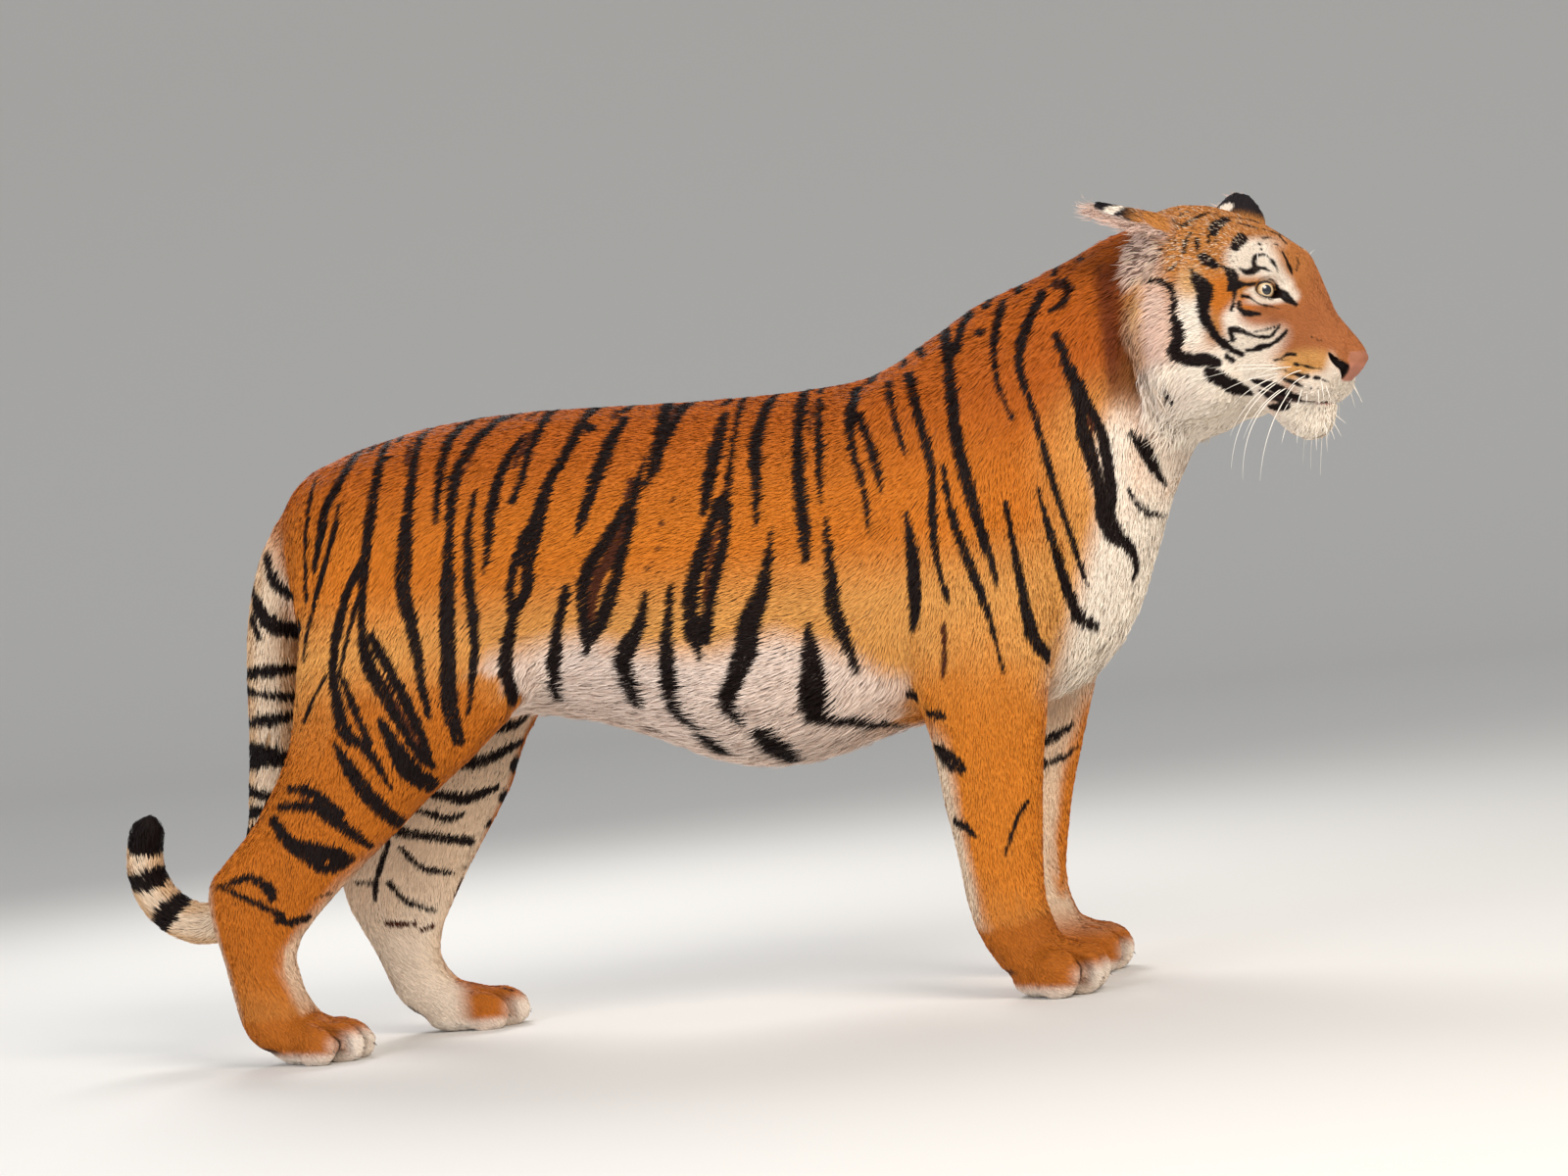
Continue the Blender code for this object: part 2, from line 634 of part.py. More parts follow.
def main():
    clear_scene()
    tiger = make_collection("bengal_tiger")
    cutters = make_collection("cutters", hidden=True)
    materials = {name: make_material(name) for name in COLOURS}
    body = fused_body(cutters)
    whole = bisected(body.data, Vector((0, 0, 0)), Vector((0, 0, -1)))
    matrix = head_matrix()

    parts = {}
    space = add_object("body_space", inflated(whole, GAP), cutters)
    space.hide_render = True
    for side in ("right", "left"):
        ear = boolean(thick_ear(side, cutters), space, "DIFFERENCE", cutters)
        parts["ear_" + side] = (largest_piece(ear), "coat_dark")
    tail = largest_piece(boolean(tail_mesh(), space, "DIFFERENCE", cutters))
    tail_base, tail_rest = halves(tail, (0, 0, 0.600), (0, 0, -1))
    tail_middle, tail_tip = halves(tail_rest, (-0.085, 0, 0.275), (-1, 0, -0.7))
    parts["tail_base"] = (tail_base, "coat_orange")
    parts["tail_middle"] = (tail_middle, "coat_white")
    parts["tail_tip"] = (tail_tip, "coat_dark")

    for sign, side in ((-1, "right"), (1, "left")):
        place = matrix @ mirrored(EYE_PLACE, sign)
        socket = add_object("socket_" + side, eye_mesh(place, EYE_RADIUS + GAP, "socket"), cutters)
        socket.hide_render = True
        whole = boolean(whole, socket, "DIFFERENCE", cutters)
        parts["eye_" + side] = (eye_mesh(place, EYE_RADIUS, "eye"), "eye_amber")

    for sign, side in ((-1, "right"), (1, "left")):
        ahead = 0.035 if sign > 0 else 0.0
        whole, leg = take_leg(whole, "foreleg_" + side, sign, 0.395, 0.62, 0.992, 1.320, cutters)
        foreleg, paw = halves(largest_piece(leg), (1.08 + ahead, 0, 0.120), (0.15, 0, -1))
        parts["foreleg_" + side] = (foreleg, "coat_orange")
        parts["forepaw_" + side] = (paw, "coat_orange")
        whole, leg = take_leg(whole, "hindleg_" + side, sign, 0.455, 0.62, -0.200, 0.460, cutters)
        thigh, lower = halves(largest_piece(leg), (0.10, 0, 0.395), (0.25, 0, -1))
        hock = (-0.05, 0, 0.210) if sign < 0 else (0.10, 0, 0.190)
        shank, foot = halves(lower, hock, (0.25, 0, -1))
        metatarsus, paw = halves(foot, (0, 0, 0.082), (0, 0, -1))
        parts["thigh_" + side] = (thigh, "coat_orange")
        parts["shank_" + side] = (shank, "coat_orange")
        parts["metatarsus_" + side] = (metatarsus, "coat_orange")
        parts["hindpaw_" + side] = (paw, "coat_orange")

    trunk, front = halves(largest_piece(whole), (1.215, 0, 0.800), (0.92, 0, 0.40))
    neck, head = halves(front, (1.423, -0.023, 0.960), (0.89, -0.45, 0))
    parts["trunk"] = (trunk, "coat_orange")
    parts["neck"] = (neck, "coat_orange")
    parts["head"] = (head, "coat_orange")

    made = [
        add_object(name, largest_piece(mesh), tiger, materials[finish])
        for name, (mesh, finish) in parts.items()
    ]
    centred(made)
    for obj in list(cutters.objects):
        if not obj.name.endswith(("_space", "_share")) and not obj.name.startswith("socket"):
            bpy.data.objects.remove(obj)


main()
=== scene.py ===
import json
import math

import bmesh
import bpy
import numpy as np
from mathutils import Matrix, Vector
from mathutils.bvhtree import BVHTree
from mathutils.kdtree import KDTree

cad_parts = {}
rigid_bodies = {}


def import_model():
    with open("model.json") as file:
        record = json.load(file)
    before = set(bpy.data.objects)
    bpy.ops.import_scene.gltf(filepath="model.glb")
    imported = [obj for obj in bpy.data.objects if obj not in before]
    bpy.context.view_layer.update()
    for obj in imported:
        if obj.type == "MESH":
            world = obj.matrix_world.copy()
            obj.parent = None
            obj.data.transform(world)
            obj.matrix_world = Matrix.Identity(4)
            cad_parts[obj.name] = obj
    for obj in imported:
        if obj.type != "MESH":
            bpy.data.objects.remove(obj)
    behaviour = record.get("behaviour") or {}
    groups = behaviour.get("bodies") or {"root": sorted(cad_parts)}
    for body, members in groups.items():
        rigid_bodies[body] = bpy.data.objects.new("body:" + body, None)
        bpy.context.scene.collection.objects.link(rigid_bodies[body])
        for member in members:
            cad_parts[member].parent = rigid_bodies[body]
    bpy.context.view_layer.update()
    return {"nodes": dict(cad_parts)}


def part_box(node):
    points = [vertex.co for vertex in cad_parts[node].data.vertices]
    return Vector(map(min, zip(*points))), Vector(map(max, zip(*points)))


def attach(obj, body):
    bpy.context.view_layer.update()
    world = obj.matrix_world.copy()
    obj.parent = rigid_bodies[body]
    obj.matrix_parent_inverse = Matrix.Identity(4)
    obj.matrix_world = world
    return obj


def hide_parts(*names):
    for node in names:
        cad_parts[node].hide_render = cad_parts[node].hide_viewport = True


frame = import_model()
scene = bpy.context.scene
random = np.random.default_rng(7)

# Places are in the drawing's frame, in metres: x from the root of the tail towards the nose,
# y to the tiger's left, z up. Places on the head are in its own frame, turned with the neck.
headPivot = Vector((1.405, -0.014, 0.0))
headTurn = math.radians(-27)
rightEye = Vector((0.2150, -0.0570, 1.010))
eyeRadius = 0.0175
headMatrix = Matrix.Translation(headPivot) @ Matrix.Rotation(headTurn, 4, "Z")
eyeLow, eyeHigh = (Vector(corner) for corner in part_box("eye_right"))
shift = headMatrix @ rightEye - (eyeLow + eyeHigh) / 2


def fromHead(points):
    turned = np.array(headMatrix)
    return np.asarray(points, float) @ turned[:3, :3].T + turned[:3, 3]


def toHead(points):
    turned = np.array(headMatrix.inverted())
    return np.asarray(points, float) @ turned[:3, :3].T + turned[:3, 3]


def linearColour(hexCode):
    values = [int(hexCode[i : i + 2], 16) / 255 for i in (1, 3, 5)]
    return np.array([v / 12.92 if v <= 0.04045 else ((v + 0.055) / 1.055) ** 2.4 for v in values])


def ramp(value, start, end):
    t = np.clip((value - start) / (end - start), 0, 1)
    return t * t * (3 - 2 * t)


def unit(vectors):
    return vectors / np.maximum(np.linalg.norm(vectors, axis=-1, keepdims=True), 1e-9)


def arrayOf(mesh, what, name, width, kind=np.float32):
    values = np.empty(len(getattr(mesh, what)) * width, kind)
    getattr(mesh, what).foreach_get(name, values)
    return values.reshape(-1, width) if width > 1 else values


def addPiece(name, mesh, material):
    piece = bpy.data.objects.new(name, mesh)
    scene.collection.objects.link(piece)
    mesh.materials.clear()
    mesh.materials.append(material)
    return piece


def addNode(tree, kind, settings=None, links=None):
    node = tree.nodes.new(kind)
    for name, value in (settings or {}).items():
        if name in node.inputs.keys():
            node.inputs[name].default_value = value
        else:
            setattr(node, name, value)
    for name, source in (links or {}).items():
        tree.links.new(source, node.inputs[name])
    return node


def newMaterial(name, settings):
    material = bpy.data.materials.new(name)
    material.use_nodes = True
    shader = material.node_tree.nodes["Principled BSDF"]
    for socket, value in settings.items():
        shader.inputs[socket].default_value = value
    return material, material.node_tree, shader


def solid(hexCode):
    return (*linearColour(hexCode), 1.0)


def setTint(mesh, colours):
    layer = mesh.attributes.new("tint", "FLOAT_COLOR", "POINT")
    rows = np.ones((len(colours), 4), np.float32)
    rows[:, :3] = colours
    layer.data.foreach_set("color", rows.ravel())


print("stage: camera, floor and lights")
camera = {"target": (0.799, 0.0, 0.647), "azimuth": 6.0, "elevation": -0.5, "roll": 6.0,
          "distance": 5.0, "lens": 74.25}


def setCamera():
    az, el, roll = (math.radians(camera[k]) for k in ("azimuth", "elevation", "roll"))
    back = Vector((math.sin(az) * math.cos(el), -math.cos(az) * math.cos(el), math.sin(el)))
    right = (-back).cross(Vector((math.sin(roll), 0, math.cos(roll)))).normalized()
    up = right.cross(-back)
    data = bpy.data.cameras.new("camera")
    data.lens = camera["lens"]
    data.sensor_width = 36
    data.clip_end = 60
    eye = bpy.data.objects.new("camera", data)
    place = Vector(camera["target"]) - shift + back * camera["distance"]
    eye.matrix_world = Matrix((
        (right.x, up.x, back.x, place.x),
        (right.y, up.y, back.y, place.y),
        (right.z, up.z, back.z, place.z),
        (0, 0, 0, 1)))
    scene.collection.objects.link(eye)
    scene.camera = eye


setCamera()

floor = {"depth": 13.0, "front": 13.0, "width": 40.0, "height": 14.0, "bend": 5.0, "colour": "#dedbd6"}


def makeFloor():
    rows = [(-floor["front"], 0.0), (floor["depth"], 0.0)]
    for step in range(1, 13):
        turn = math.pi / 2 * step / 12
        rows.append((floor["depth"] + floor["bend"] * math.sin(turn), floor["bend"] * (1 - math.cos(turn))))
    rows.append((floor["depth"] + floor["bend"], floor["height"]))
    half = floor["width"] / 2
    points = [(x, y, z) for y, z in rows for x in (-half, half)]
    faces = [(2 * i, 2 * i + 1, 2 * i + 3, 2 * i + 2) for i in range(len(rows) - 1)]
    mesh = bpy.data.meshes.new("floor")
    mesh.from_pydata(points, [], faces)
    mesh.shade_smooth()
    # studio backdrop: a sheet of matt painted board, with no pattern
    material, _, shader = newMaterial("paintedStudioFloor", {"Roughness": 0.85})
    shader.inputs["Base Color"].default_value = solid(floor["colour"])
    addPiece("floor", mesh, material)


makeFloor()

lights = [  # name, place, target, size, watts, colour
    ("key", (2.6, -3.6, 3.6), (0.3, 0, 0.6), 2.6, 190, "#fff6ea"),
    ("fill", (-2.6, -3.4, 1.7), (0.0, 0, 0.6), 3.0, 70, "#eef4ff"),
    ("rim", (-1.2, 2.6, 3.2), (0.0, 0, 0.7), 2.0, 90, "#ffffff"),
]


def setLights():
    for name, place, target, size, watts, colour in lights:
        data = bpy.data.lights.new(name, "AREA")
        data.shape = "DISK"
        data.size = size
        data.energy = watts
        data.color = linearColour(colour)
        lamp = bpy.data.objects.new(name, data)
        lamp.location = place
        lamp.rotation_mode = "QUATERNION"
        lamp.rotation_quaternion = (Vector(target) - Vector(place)).to_track_quat("-Z", "Y")
        scene.collection.objects.link(lamp)
    world = bpy.data.worlds.new("studioAir")
    world.use_nodes = True
    world.node_tree.nodes["Background"].inputs["Color"].default_value = (0.93, 0.96, 1.0, 1)
    world.node_tree.nodes["Background"].inputs["Strength"].default_value = 0.55
    scene.world = world
    scene.view_settings.view_transform = "Standard"


setLights()

print("skin: one surface over every part")
skinMake = {"overlap": 0.0008, "voxel": 0.005, "triangles": 83000}
smoothing = {"trunk": 0.9, "neck": 0.9, "thigh": 0.8, "tail": 1.0, "shank": 0.7, "foreleg": 0.7,
             "metatarsus": 0.6, "paw": 0.4, "head": 0.2, "ear": 0.12, "eye": 0.0}


def partOf(nodeName):
    if "paw" in nodeName:
        return "paw"
    return nodeName.split("_")[0]


partNames = sorted(smoothing)


def joinParts():
    joined = bmesh.new()
    owners = []
    for name, node in frame["nodes"].items():
        shape = bmesh.new()
        shape.from_mesh(node.data)
        bmesh.ops.remove_doubles(shape, verts=shape.verts, dist=1e-5)
        shape.normal_update()
        for vert in shape.verts:
            vert.co += vert.normal * skinMake["overlap"] + shift
        owners += [partNames.index(partOf(name))] * len(shape.faces)
        copy = bpy.data.meshes.new("copy")
        shape.to_mesh(copy)
        joined.from_mesh(copy)
        shape.free()
        bpy.data.meshes.remove(copy)
    tree = BVHTree.FromBMesh(joined)
    mesh = bpy.data.meshes.new("parts")
    joined.to_mesh(mesh)
    joined.free()
    return mesh, tree, np.array(owners)


def baked(piece):
    graph = bpy.context.evaluated_depsgraph_get()
    mesh = bpy.data.meshes.new_from_object(piece.evaluated_get(graph))
    bpy.data.objects.remove(piece)
    return mesh


def shareOut(edges, count, values, rounds):
    # spreads values over the mesh from each point to its neighbours
    ends = np.concatenate([edges[:, 0], edges[:, 1]])
    others = np.concatenate([edges[:, 1], edges[:, 0]])
    degree = np.maximum(np.bincount(ends, minlength=count), 1)[:, None]
    for _ in range(rounds):
        near = np.stack([np.bincount(ends, v[others], count) for v in values.T], 1) / degree
        values = 0.5 * (values + near)
    return values


def relax(points, edges, strength, rounds):
    # Taubin's smoothing: a step in, then a slightly longer step out, keeps the volume
    count = len(points)
    ends = np.concatenate([edges[:, 0], edges[:, 1]])
    others = np.concatenate([edges[:, 1], edges[:, 0]])
    degree = np.maximum(np.bincount(ends, minlength=count), 1)[:, None]
    for step in range(2 * rounds):
        near = np.stack([np.bincount(ends, v[others], count) for v in points.T], 1) / degree
        points = points + (0.50 if step % 2 == 0 else -0.52) * strength * (near - points)
    return points


def nearestOwners(points, tree, owners):
    return owners[[tree.find_nearest(p)[2] for p in points.tolist()]]


def makeSkinShape():
    mesh, tree, owners = joinParts()
    piece = bpy.data.objects.new("parts", mesh)
    scene.collection.objects.link(piece)
    remesh = piece.modifiers.new("voxels", "REMESH")
    remesh.mode = "VOXEL"
    remesh.voxel_size = skinMake["voxel"]
    mesh = baked(piece)
    points = arrayOf(mesh, "vertices", "co", 3).astype(float)
    edges = arrayOf(mesh, "edges", "vertices", 2, np.int32)
    labels = nearestOwners(points, tree, owners)
    strength = np.array([smoothing[name] for name in partNames])[labels][:, None]
    strength = shareOut(edges, len(points), strength, 50)
    points = relax(points, edges, np.ones((len(points), 1)), 3)
    points = relax(points, edges, strength, 24)
    mesh.vertices.foreach_set("co", points.ravel())
    piece = bpy.data.objects.new("smooth", mesh)
    scene.collection.objects.link(piece)
    group = piece.vertex_groups.new(name="body")
    isHead = np.isin(labels, [partNames.index(n) for n in ("head", "ear", "eye")])
    isPaw = labels == partNames.index("paw")
    group.add(np.flatnonzero(~isHead & ~isPaw).tolist(), 1.0, "REPLACE")
    group.add(np.flatnonzero(isPaw).tolist(), 0.5, "REPLACE")
    group.add(np.flatnonzero(isHead).tolist(), 0.12, "REPLACE")
    thin = piece.modifiers.new("thin", "DECIMATE")
    thin.ratio = skinMake["triangles"] / (2 * len(mesh.polygons))
    thin.vertex_group = "body"
    thin.vertex_group_factor = 1.0
    thinned = baked(piece)
    print("   skin", len(thinned.vertices), "points", len(thinned.polygons), "faces")
    return thinned, tree, owners


def nodeShares(points, edges, rounds):
    labels = nearestOwners(points, partTree, partOwners)
    hot = np.zeros((len(points), len(partNames)))
    hot[np.arange(len(points)), labels] = 1
    return shareOut(edges, len(points), hot, rounds)


# a tuft's length and lift off the skin and its half width in mm, and the tufts on a square cm
fur = {
    "trunk": (17, 3.6, 0.95, 12),
    "neck": (20, 4.4, 1.00, 12),
    "thigh": (16, 3.6, 0.95, 12.5),
    "shank": (13, 2.3, 0.85, 14),
    "foreleg": (13, 2.1, 0.85, 14),
    "metatarsus": (10, 1.6, 0.75, 17),
    "paw": (7, 1.1, 0.65, 21.5),
    "tail": (18, 4.0, 1.00, 13),
    "head": (9, 2.0, 0.65, 26),
    "ear": (10, 1.6, 0.65, 22),
    "eye": (3, 1.0, 0.45, 30),
}
longFur = [  # place on the head, its reach in m, and the length and lift of the hair there in mm
    ((0.050, 0.110, 0.995), 0.050, 46, 13),
    ((0.040, 0.110, 0.910), 0.055, 56, 17),
    ((0.055, 0.080, 0.830), 0.045, 50, 15),
    ((0.130, 0.075, 0.855), 0.040, 20, 5),
    ((0.260, 0.020, 0.800), 0.030, 22, 6),
    ((0.200, 0.020, 0.800), 0.035, 20, 5),
    ((0.050, 0.098, 1.095), 0.030, 52, 12),
    ((0.035, 0.105, 1.060), 0.035, 46, 12),
    ((0.000, 0.105, 1.050), 0.035, 36, 10),
]
face = {"length": 4.6, "lift": 1.2, "half": 0.50, "tufts": 40}
ears = {  # base, tip, and the way that the open side faces, on the head
    "right": ((0.070, -0.080, 1.116), (-0.022, -0.138, 1.163), (-0.52, -0.05, -0.85)),
    "left": ((0.112, 0.086, 1.096), (0.100, 0.142, 1.180), (-0.35, 0.45, -0.60)),
}


def openSide(points, normals):
    # how squarely a place on an ear faces the way that the ear opens
    local = toHead(points)
    turned = normals @ np.array(headMatrix)[:3, :3]
    right, left = (turned @ unit(np.array(ears[name][2])) for name in ("right", "left"))
    return np.where(local[:, 1] < 0, right, left)


def furFields(points, normals, share):
    fields = share @ np.array([fur[name] for name in partNames], float)
    local = toHead(points)
    local[:, 1] = np.abs(local[:, 1])
    onHead = ramp(share[:, partNames.index("head")], 0.15, 0.7)
    for place, reach, length, lift in longFur:
        pull = np.exp(-((local - place) ** 2).sum(1) / reach**2) * onHead
        fields[:, 0] += (length - fields[:, 0]) * pull
        fields[:, 1] += (lift - fields[:, 1]) * pull
        fields[:, 2] += (1.1 - fields[:, 2]) * pull
        fields[:, 3] += (14 - fields[:, 3]) * pull
    front = (ramp(local[:, 0], 0.13, 0.22) * ramp(local[:, 2], 0.80, 0.86) * onHead)[:, None]
    fields += (np.array((face["length"], face["lift"], face["half"], face["tufts"])) - fields) * front
    ear = share[:, partNames.index("ear")]
    opening = ramp(openSide(points, normals), 0.1, 0.6) * ear
    across = toHead(points)[:, 1]
    deep = opening * np.where(local[:, 0] < 0.085, 1.0, 0.3) * (across < 0) + 0.3 * opening * (across > 0)
    fields[:, 0] += 24 * deep
    fields[:, 1] += 5 * deep
    below = ramp(-normals[:, 2], 0.2, 0.8) * share[:, partNames.index("trunk")]
    fields[:, 0] += 22 * below
    fields[:, 1] += 9 * below
    sole = 1 - ramp(points[:, 2], 0.004, 0.02)
    fields[:, 1] *= 1 - sole
    return fields


skinMesh, partTree, partOwners = makeSkinShape()


def meshNormals(mesh):
    return arrayOf(mesh, "vertex_normals", "vector", 3).astype(float)


def sinkSkin(mesh):
    points = arrayOf(mesh, "vertices", "co", 3).astype(float)
    edges = arrayOf(mesh, "edges", "vertices", 2, np.int32)
    share = nodeShares(points, edges, 6)
    depth = furFields(points, meshNormals(mesh), share)[:, 1:2] * 0.001
    depth = shareOut(edges, len(points), depth, 8)
    points -= meshNormals(mesh) * depth
    mesh.vertices.foreach_set("co", points.ravel())
    mesh.update()


def splitFaces(mesh, wanted):
    shape = bmesh.new()
    shape.from_mesh(mesh)
    centres = np.array([f.calc_center_median() for f in shape.faces])
    chosen = wanted(toHead(centres), centres)
    edges = {e for f, take in zip(shape.faces, chosen) if take for e in f.edges}
    bmesh.ops.subdivide_edges(shape, edges=list(edges), cuts=1, use_grid_fill=True, smooth=0.0)
    bmesh.ops.triangulate(shape, faces=[f for f in shape.faces if len(f.verts) > 3])
    shape.to_mesh(mesh)
    shape.free()
    mesh.update()


def onFace(local, centres):
    return (local[:, 0] > 0.13) & (centres[:, 2] > 0.76) & (np.abs(local[:, 1]) < 0.11)


def onFeatures(local, centres):
    side = local * (1, -1, 1)
    side[:, 1] = -np.abs(local[:, 1])
    nearEye = np.linalg.norm(side - np.array(rightEye), axis=1) < 0.034
    nearNose = (local[:, 0] > 0.262) & (centres[:, 2] > 0.80) & (centres[:, 2] < 0.935)
    return nearEye | nearNose


feet = [  # back, front, side place, width and turn towards the left of each paw, as the solids have them
    (1.078, 1.240, -0.125, 0.138, -14), (1.110, 1.276, 0.125, 0.138, 12),
    (-0.064, 0.117, -0.125, 0.122, -14), (0.126, 0.311, 0.125, 0.122, 10),
]
toes = {"gap": 0.0042, "depth": 0.010}


def inFoot(points, foot):
    # how far along the paw each place is, from 0 to 1, and its distance from the nearest gap between toes
    back, front, beside, width, turn = foot
    length, angle = front - back, math.radians(turn)
    x, y = points[:, 0] - (back + front) / 2, points[:, 1] - beside
    along = (x * math.cos(angle) + y * math.sin(angle)) / length + 0.5
    across = y * math.cos(angle) - x * math.sin(angle)
    gaps = [0.262 * width * k + math.tan(math.radians(7 * k)) * (along - 0.76) * length for k in (-1, 0, 1)]
    near = np.min([np.abs(across - gap) for gap in gaps], axis=0)
    inside = (np.abs(across) < 0.62 * width) & (along > -0.2) & (along < 1.25) & (points[:, 2] < 0.13)
    return along, near, inside


def onFeet(local, centres):
    chosen = np.zeros(len(centres), bool)
    for foot in feet:
        along, near, inside = inFoot(centres, foot)
        chosen |= inside & (along > 0.5) & (near < 0.010) & (centres[:, 2] < 0.085)
    return chosen


def shapeFeet(mesh):
    # draws the skin in between the toes
    points = arrayOf(mesh, "vertices", "co", 3).astype(float)
    depth = np.zeros(len(points))
    for foot in feet:
        along, near, inside = inFoot(points, foot)
        groove = np.exp(-(near / toes["gap"]) ** 2) * ramp(along, 0.50, 0.72) * inside
        depth = np.maximum(depth, groove * (1 - 0.45 * ramp(points[:, 2], 0.045, 0.08)))
    points -= meshNormals(mesh) * (depth * toes["depth"])[:, None]
    mesh.vertices.foreach_set("co", points.ravel())
    mesh.update()


sinkSkin(skinMesh)
splitFaces(skinMesh, onFeet)
shapeFeet(skinMesh)
splitFaces(skinMesh, onFace)
splitFaces(skinMesh, onFeatures)
print("   finer skin", len(skinMesh.vertices), "points", len(skinMesh.polygons), "faces")

print("face: eyelids, nostrils and lips")
eyes = {"radius": eyeRadius + 0.0015, "middle": (0.2085, -0.0570, 1.0065),
        "look": (0.76, -0.65, 0.0), "lid": 0.0019,
        "hollow": 0.0030, "blend": 0.010, "rim": 0.0014, "pupil": 21.5, "iris": 43.0, "cornea": 0.0012}
upperLid = ((-19, 1), (-15, 6), (-10, 9.6), (-4, 11.6), (3, 11.6), (9, 9), (14, 4), (19, -3),
            (25, -11), (31, -18))
lowerLid = ((-19, 1), (-15, -3), (-10, -6.8), (-4, -9.6), (3, -11), (9, -11.8), (14, -12.4),
            (19, -13.4), (25, -15.8), (31, -18.6))


def eyeAxes():
    look = Vector(eyes["look"]).normalized()
    inward = Vector((-look.y, look.x, 0)).normalized()
    return np.array(inward), np.array(look.cross(inward)), np.array(look)


def rightSide(local):
    return np.stack([local[:, 0], -np.abs(local[:, 1]), local[:, 2]], 1)


def inEye(local):
    # places on the head as distances in mm towards the nose, up and outwards from the right eye's middle
    inward, up, look = eyeAxes()
    away = (rightSide(local) - np.array(eyes["middle"])) * 1000
    return away @ inward, away @ up, away @ look


def lidGap(u, w):
    # distance in mm outside the open lids, negative between them
    inner = np.clip(u, -19, 31)
    gap = np.maximum(w - np.interp(inner, *zip(*upperLid)), np.interp(inner, *zip(*lowerLid)) - w)
    return np.where(u == inner, gap, np.hypot(u - inner, np.maximum(gap, 0)))


def fromEye(u, w, d, side):
    inward, up, look = eyeAxes()
    local = np.array(eyes["middle"]) + (np.outer(u, inward) + np.outer(w, up) + np.outer(d, look)) * 0.001
    return fromHead(local * (1, -side, 1))


nostril = ((29.7, 90.3, 2.0), (30.1, 89.6, 4.4), (30.7, 88.8, 6.4), (31.3, 88.1, 7.6),
           (31.2, 87.3, 6.2), (30.6, 86.5, 2.6))
mouthLine = ((28.5, 83.4, 2.0), (27.7, 83.3, 2.4), (26.6, 83.5, 2.4), (25.2, 83.8, 2.8),
             (23.6, 84.2, 3.6), (22.0, 85.0, 4.0), (20.8, 85.8, 2.5))
nosePad = {"low": 0.863, "high": 0.902, "half": 0.027}


def castHead(skinBvh, x, z, side):
    origin = headMatrix @ Vector((x, side * 0.6, z))
    way = headMatrix.to_3x3() @ Vector((0, -side, 0))
    hit = skinBvh.ray_cast(origin, way)[0]
    if hit is None or abs((headMatrix.inverted() @ hit).y) > 0.16:
        hit = skinBvh.find_nearest(headMatrix @ Vector((x, side * 0.02, z)))[0]
    return hit


def curveThrough(points, step):
    # Catmull-Rom through the points, one sample each step
    points = np.array(points, float)
    if len(points) == 1:
        return points
    ends = np.vstack([2 * points[0] - points[1], points, 2 * points[-1] - points[-2]])
    rows = []
    for a, b, c, d in zip(ends, ends[1:], ends[2:], ends[3:]):
        count = max(2, int(np.linalg.norm((c - b)[:2]) / step) + 1)
        t = np.linspace(0, 1, count, endpoint=False)[:, None]
        bend = (2 * a - 5 * b + 4 * c - d) * t**2
        rows.append(0.5 * (2 * b + (c - a) * t + bend + (3 * b - a - 3 * c + d) * t**3))
    return np.vstack([*rows, points[-1:]])


def onSkin(mesh, line):
    # a line of x, z in cm and half width in mm, laid on the right side of the face
    corners = [tuple(p.vertices) for p in mesh.polygons]
    bvh = BVHTree.FromPolygons(arrayOf(mesh, "vertices", "co", 3).tolist(), corners)
    rows = curveThrough(line, 0.1)
    hits = np.array([castHead(bvh, x * 0.01, z * 0.01, -1) for x, z, _ in rows])
    return rightSide(toHead(hits)), rows[:, 2] * 0.001


nostrilPath, mouthPath = onSkin(skinMesh, nostril), onSkin(skinMesh, mouthLine)


def pathDepth(local, path):
    # how far inside a groove along this path each place is, in m
    places, half = path
    side = rightSide(local)
    depth = np.full(len(local), -1.0)
    near = np.flatnonzero((local[:, 0] > 0.17) & (local[:, 2] < 0.95))
    gap = np.linalg.norm(side[near, None] - places[None], axis=2)
    depth[near] = (half[None] - gap).max(1)
    return depth


def padShare(local):
    x, y, z = local.T
    low, high, half = nosePad["low"], nosePad["high"], nosePad["half"]
    pad = ramp(x - 0.3105 - (z - 0.888) * 0.35, 0, 0.004) * (1 - ramp(np.abs(y), half - 0.004, half))
    return pad * ramp(z, low - 0.004, low) * (1 - ramp(z, high - 0.003, high + 0.002))


def bareSkin(points):
    # 1 where no hair grows: between the lids, on the nose, in the nostrils and on the lips' edge
    local = grooves["local"]
    u, w, d = inEye(local)
    between = (1 - ramp(lidGap(u, w), 1.0, 3.0)) * (d > -14) * (np.abs(u) < 40)
    mouth = ramp(grooves["mouth"], -0.001, 0.001)
    nose = np.maximum(padShare(local), ramp(grooves["nostril"], -0.002, 0))
    return np.clip(between + mouth + nose, 0, 1)


def featureColours(points, colours):
    # bare black lids, pink nose leather, dark nostrils and lips, on the skin itself
    local = grooves["local"]
    u, w, d = inEye(toHead(points))
    lids = (1 - ramp(lidGap(u, w), 1.5, 3.5)) * (d > -14) * (np.abs(u) < 40)
    pad = padShare(local)
    colours = blendTo(colours, "pink", pad)
    above = ramp(local[:, 2], 0.880, 0.889) * (1 - 0.6 * np.exp(-(grooves["nostril"] / 0.004) ** 2))
    colours = blendTo(colours, "noseTop", pad * above * (0.85 + 0.15 * cloud(points, 0.004, 11)))
    lips = ramp(grooves["mouth"] + 0.0025, -0.001, 0.001) * ramp(local[:, 0], 0.262, 0.275)
    colours = blendTo(colours, "lips", lips)
    colours = blendTo(colours, "black", lids)
    colours = blendTo(colours, "black", ramp(grooves["nostril"], -0.0008, 0.0008))
    return blendTo(colours, "lip", ramp(grooves["mouth"], -0.001, 0.001))


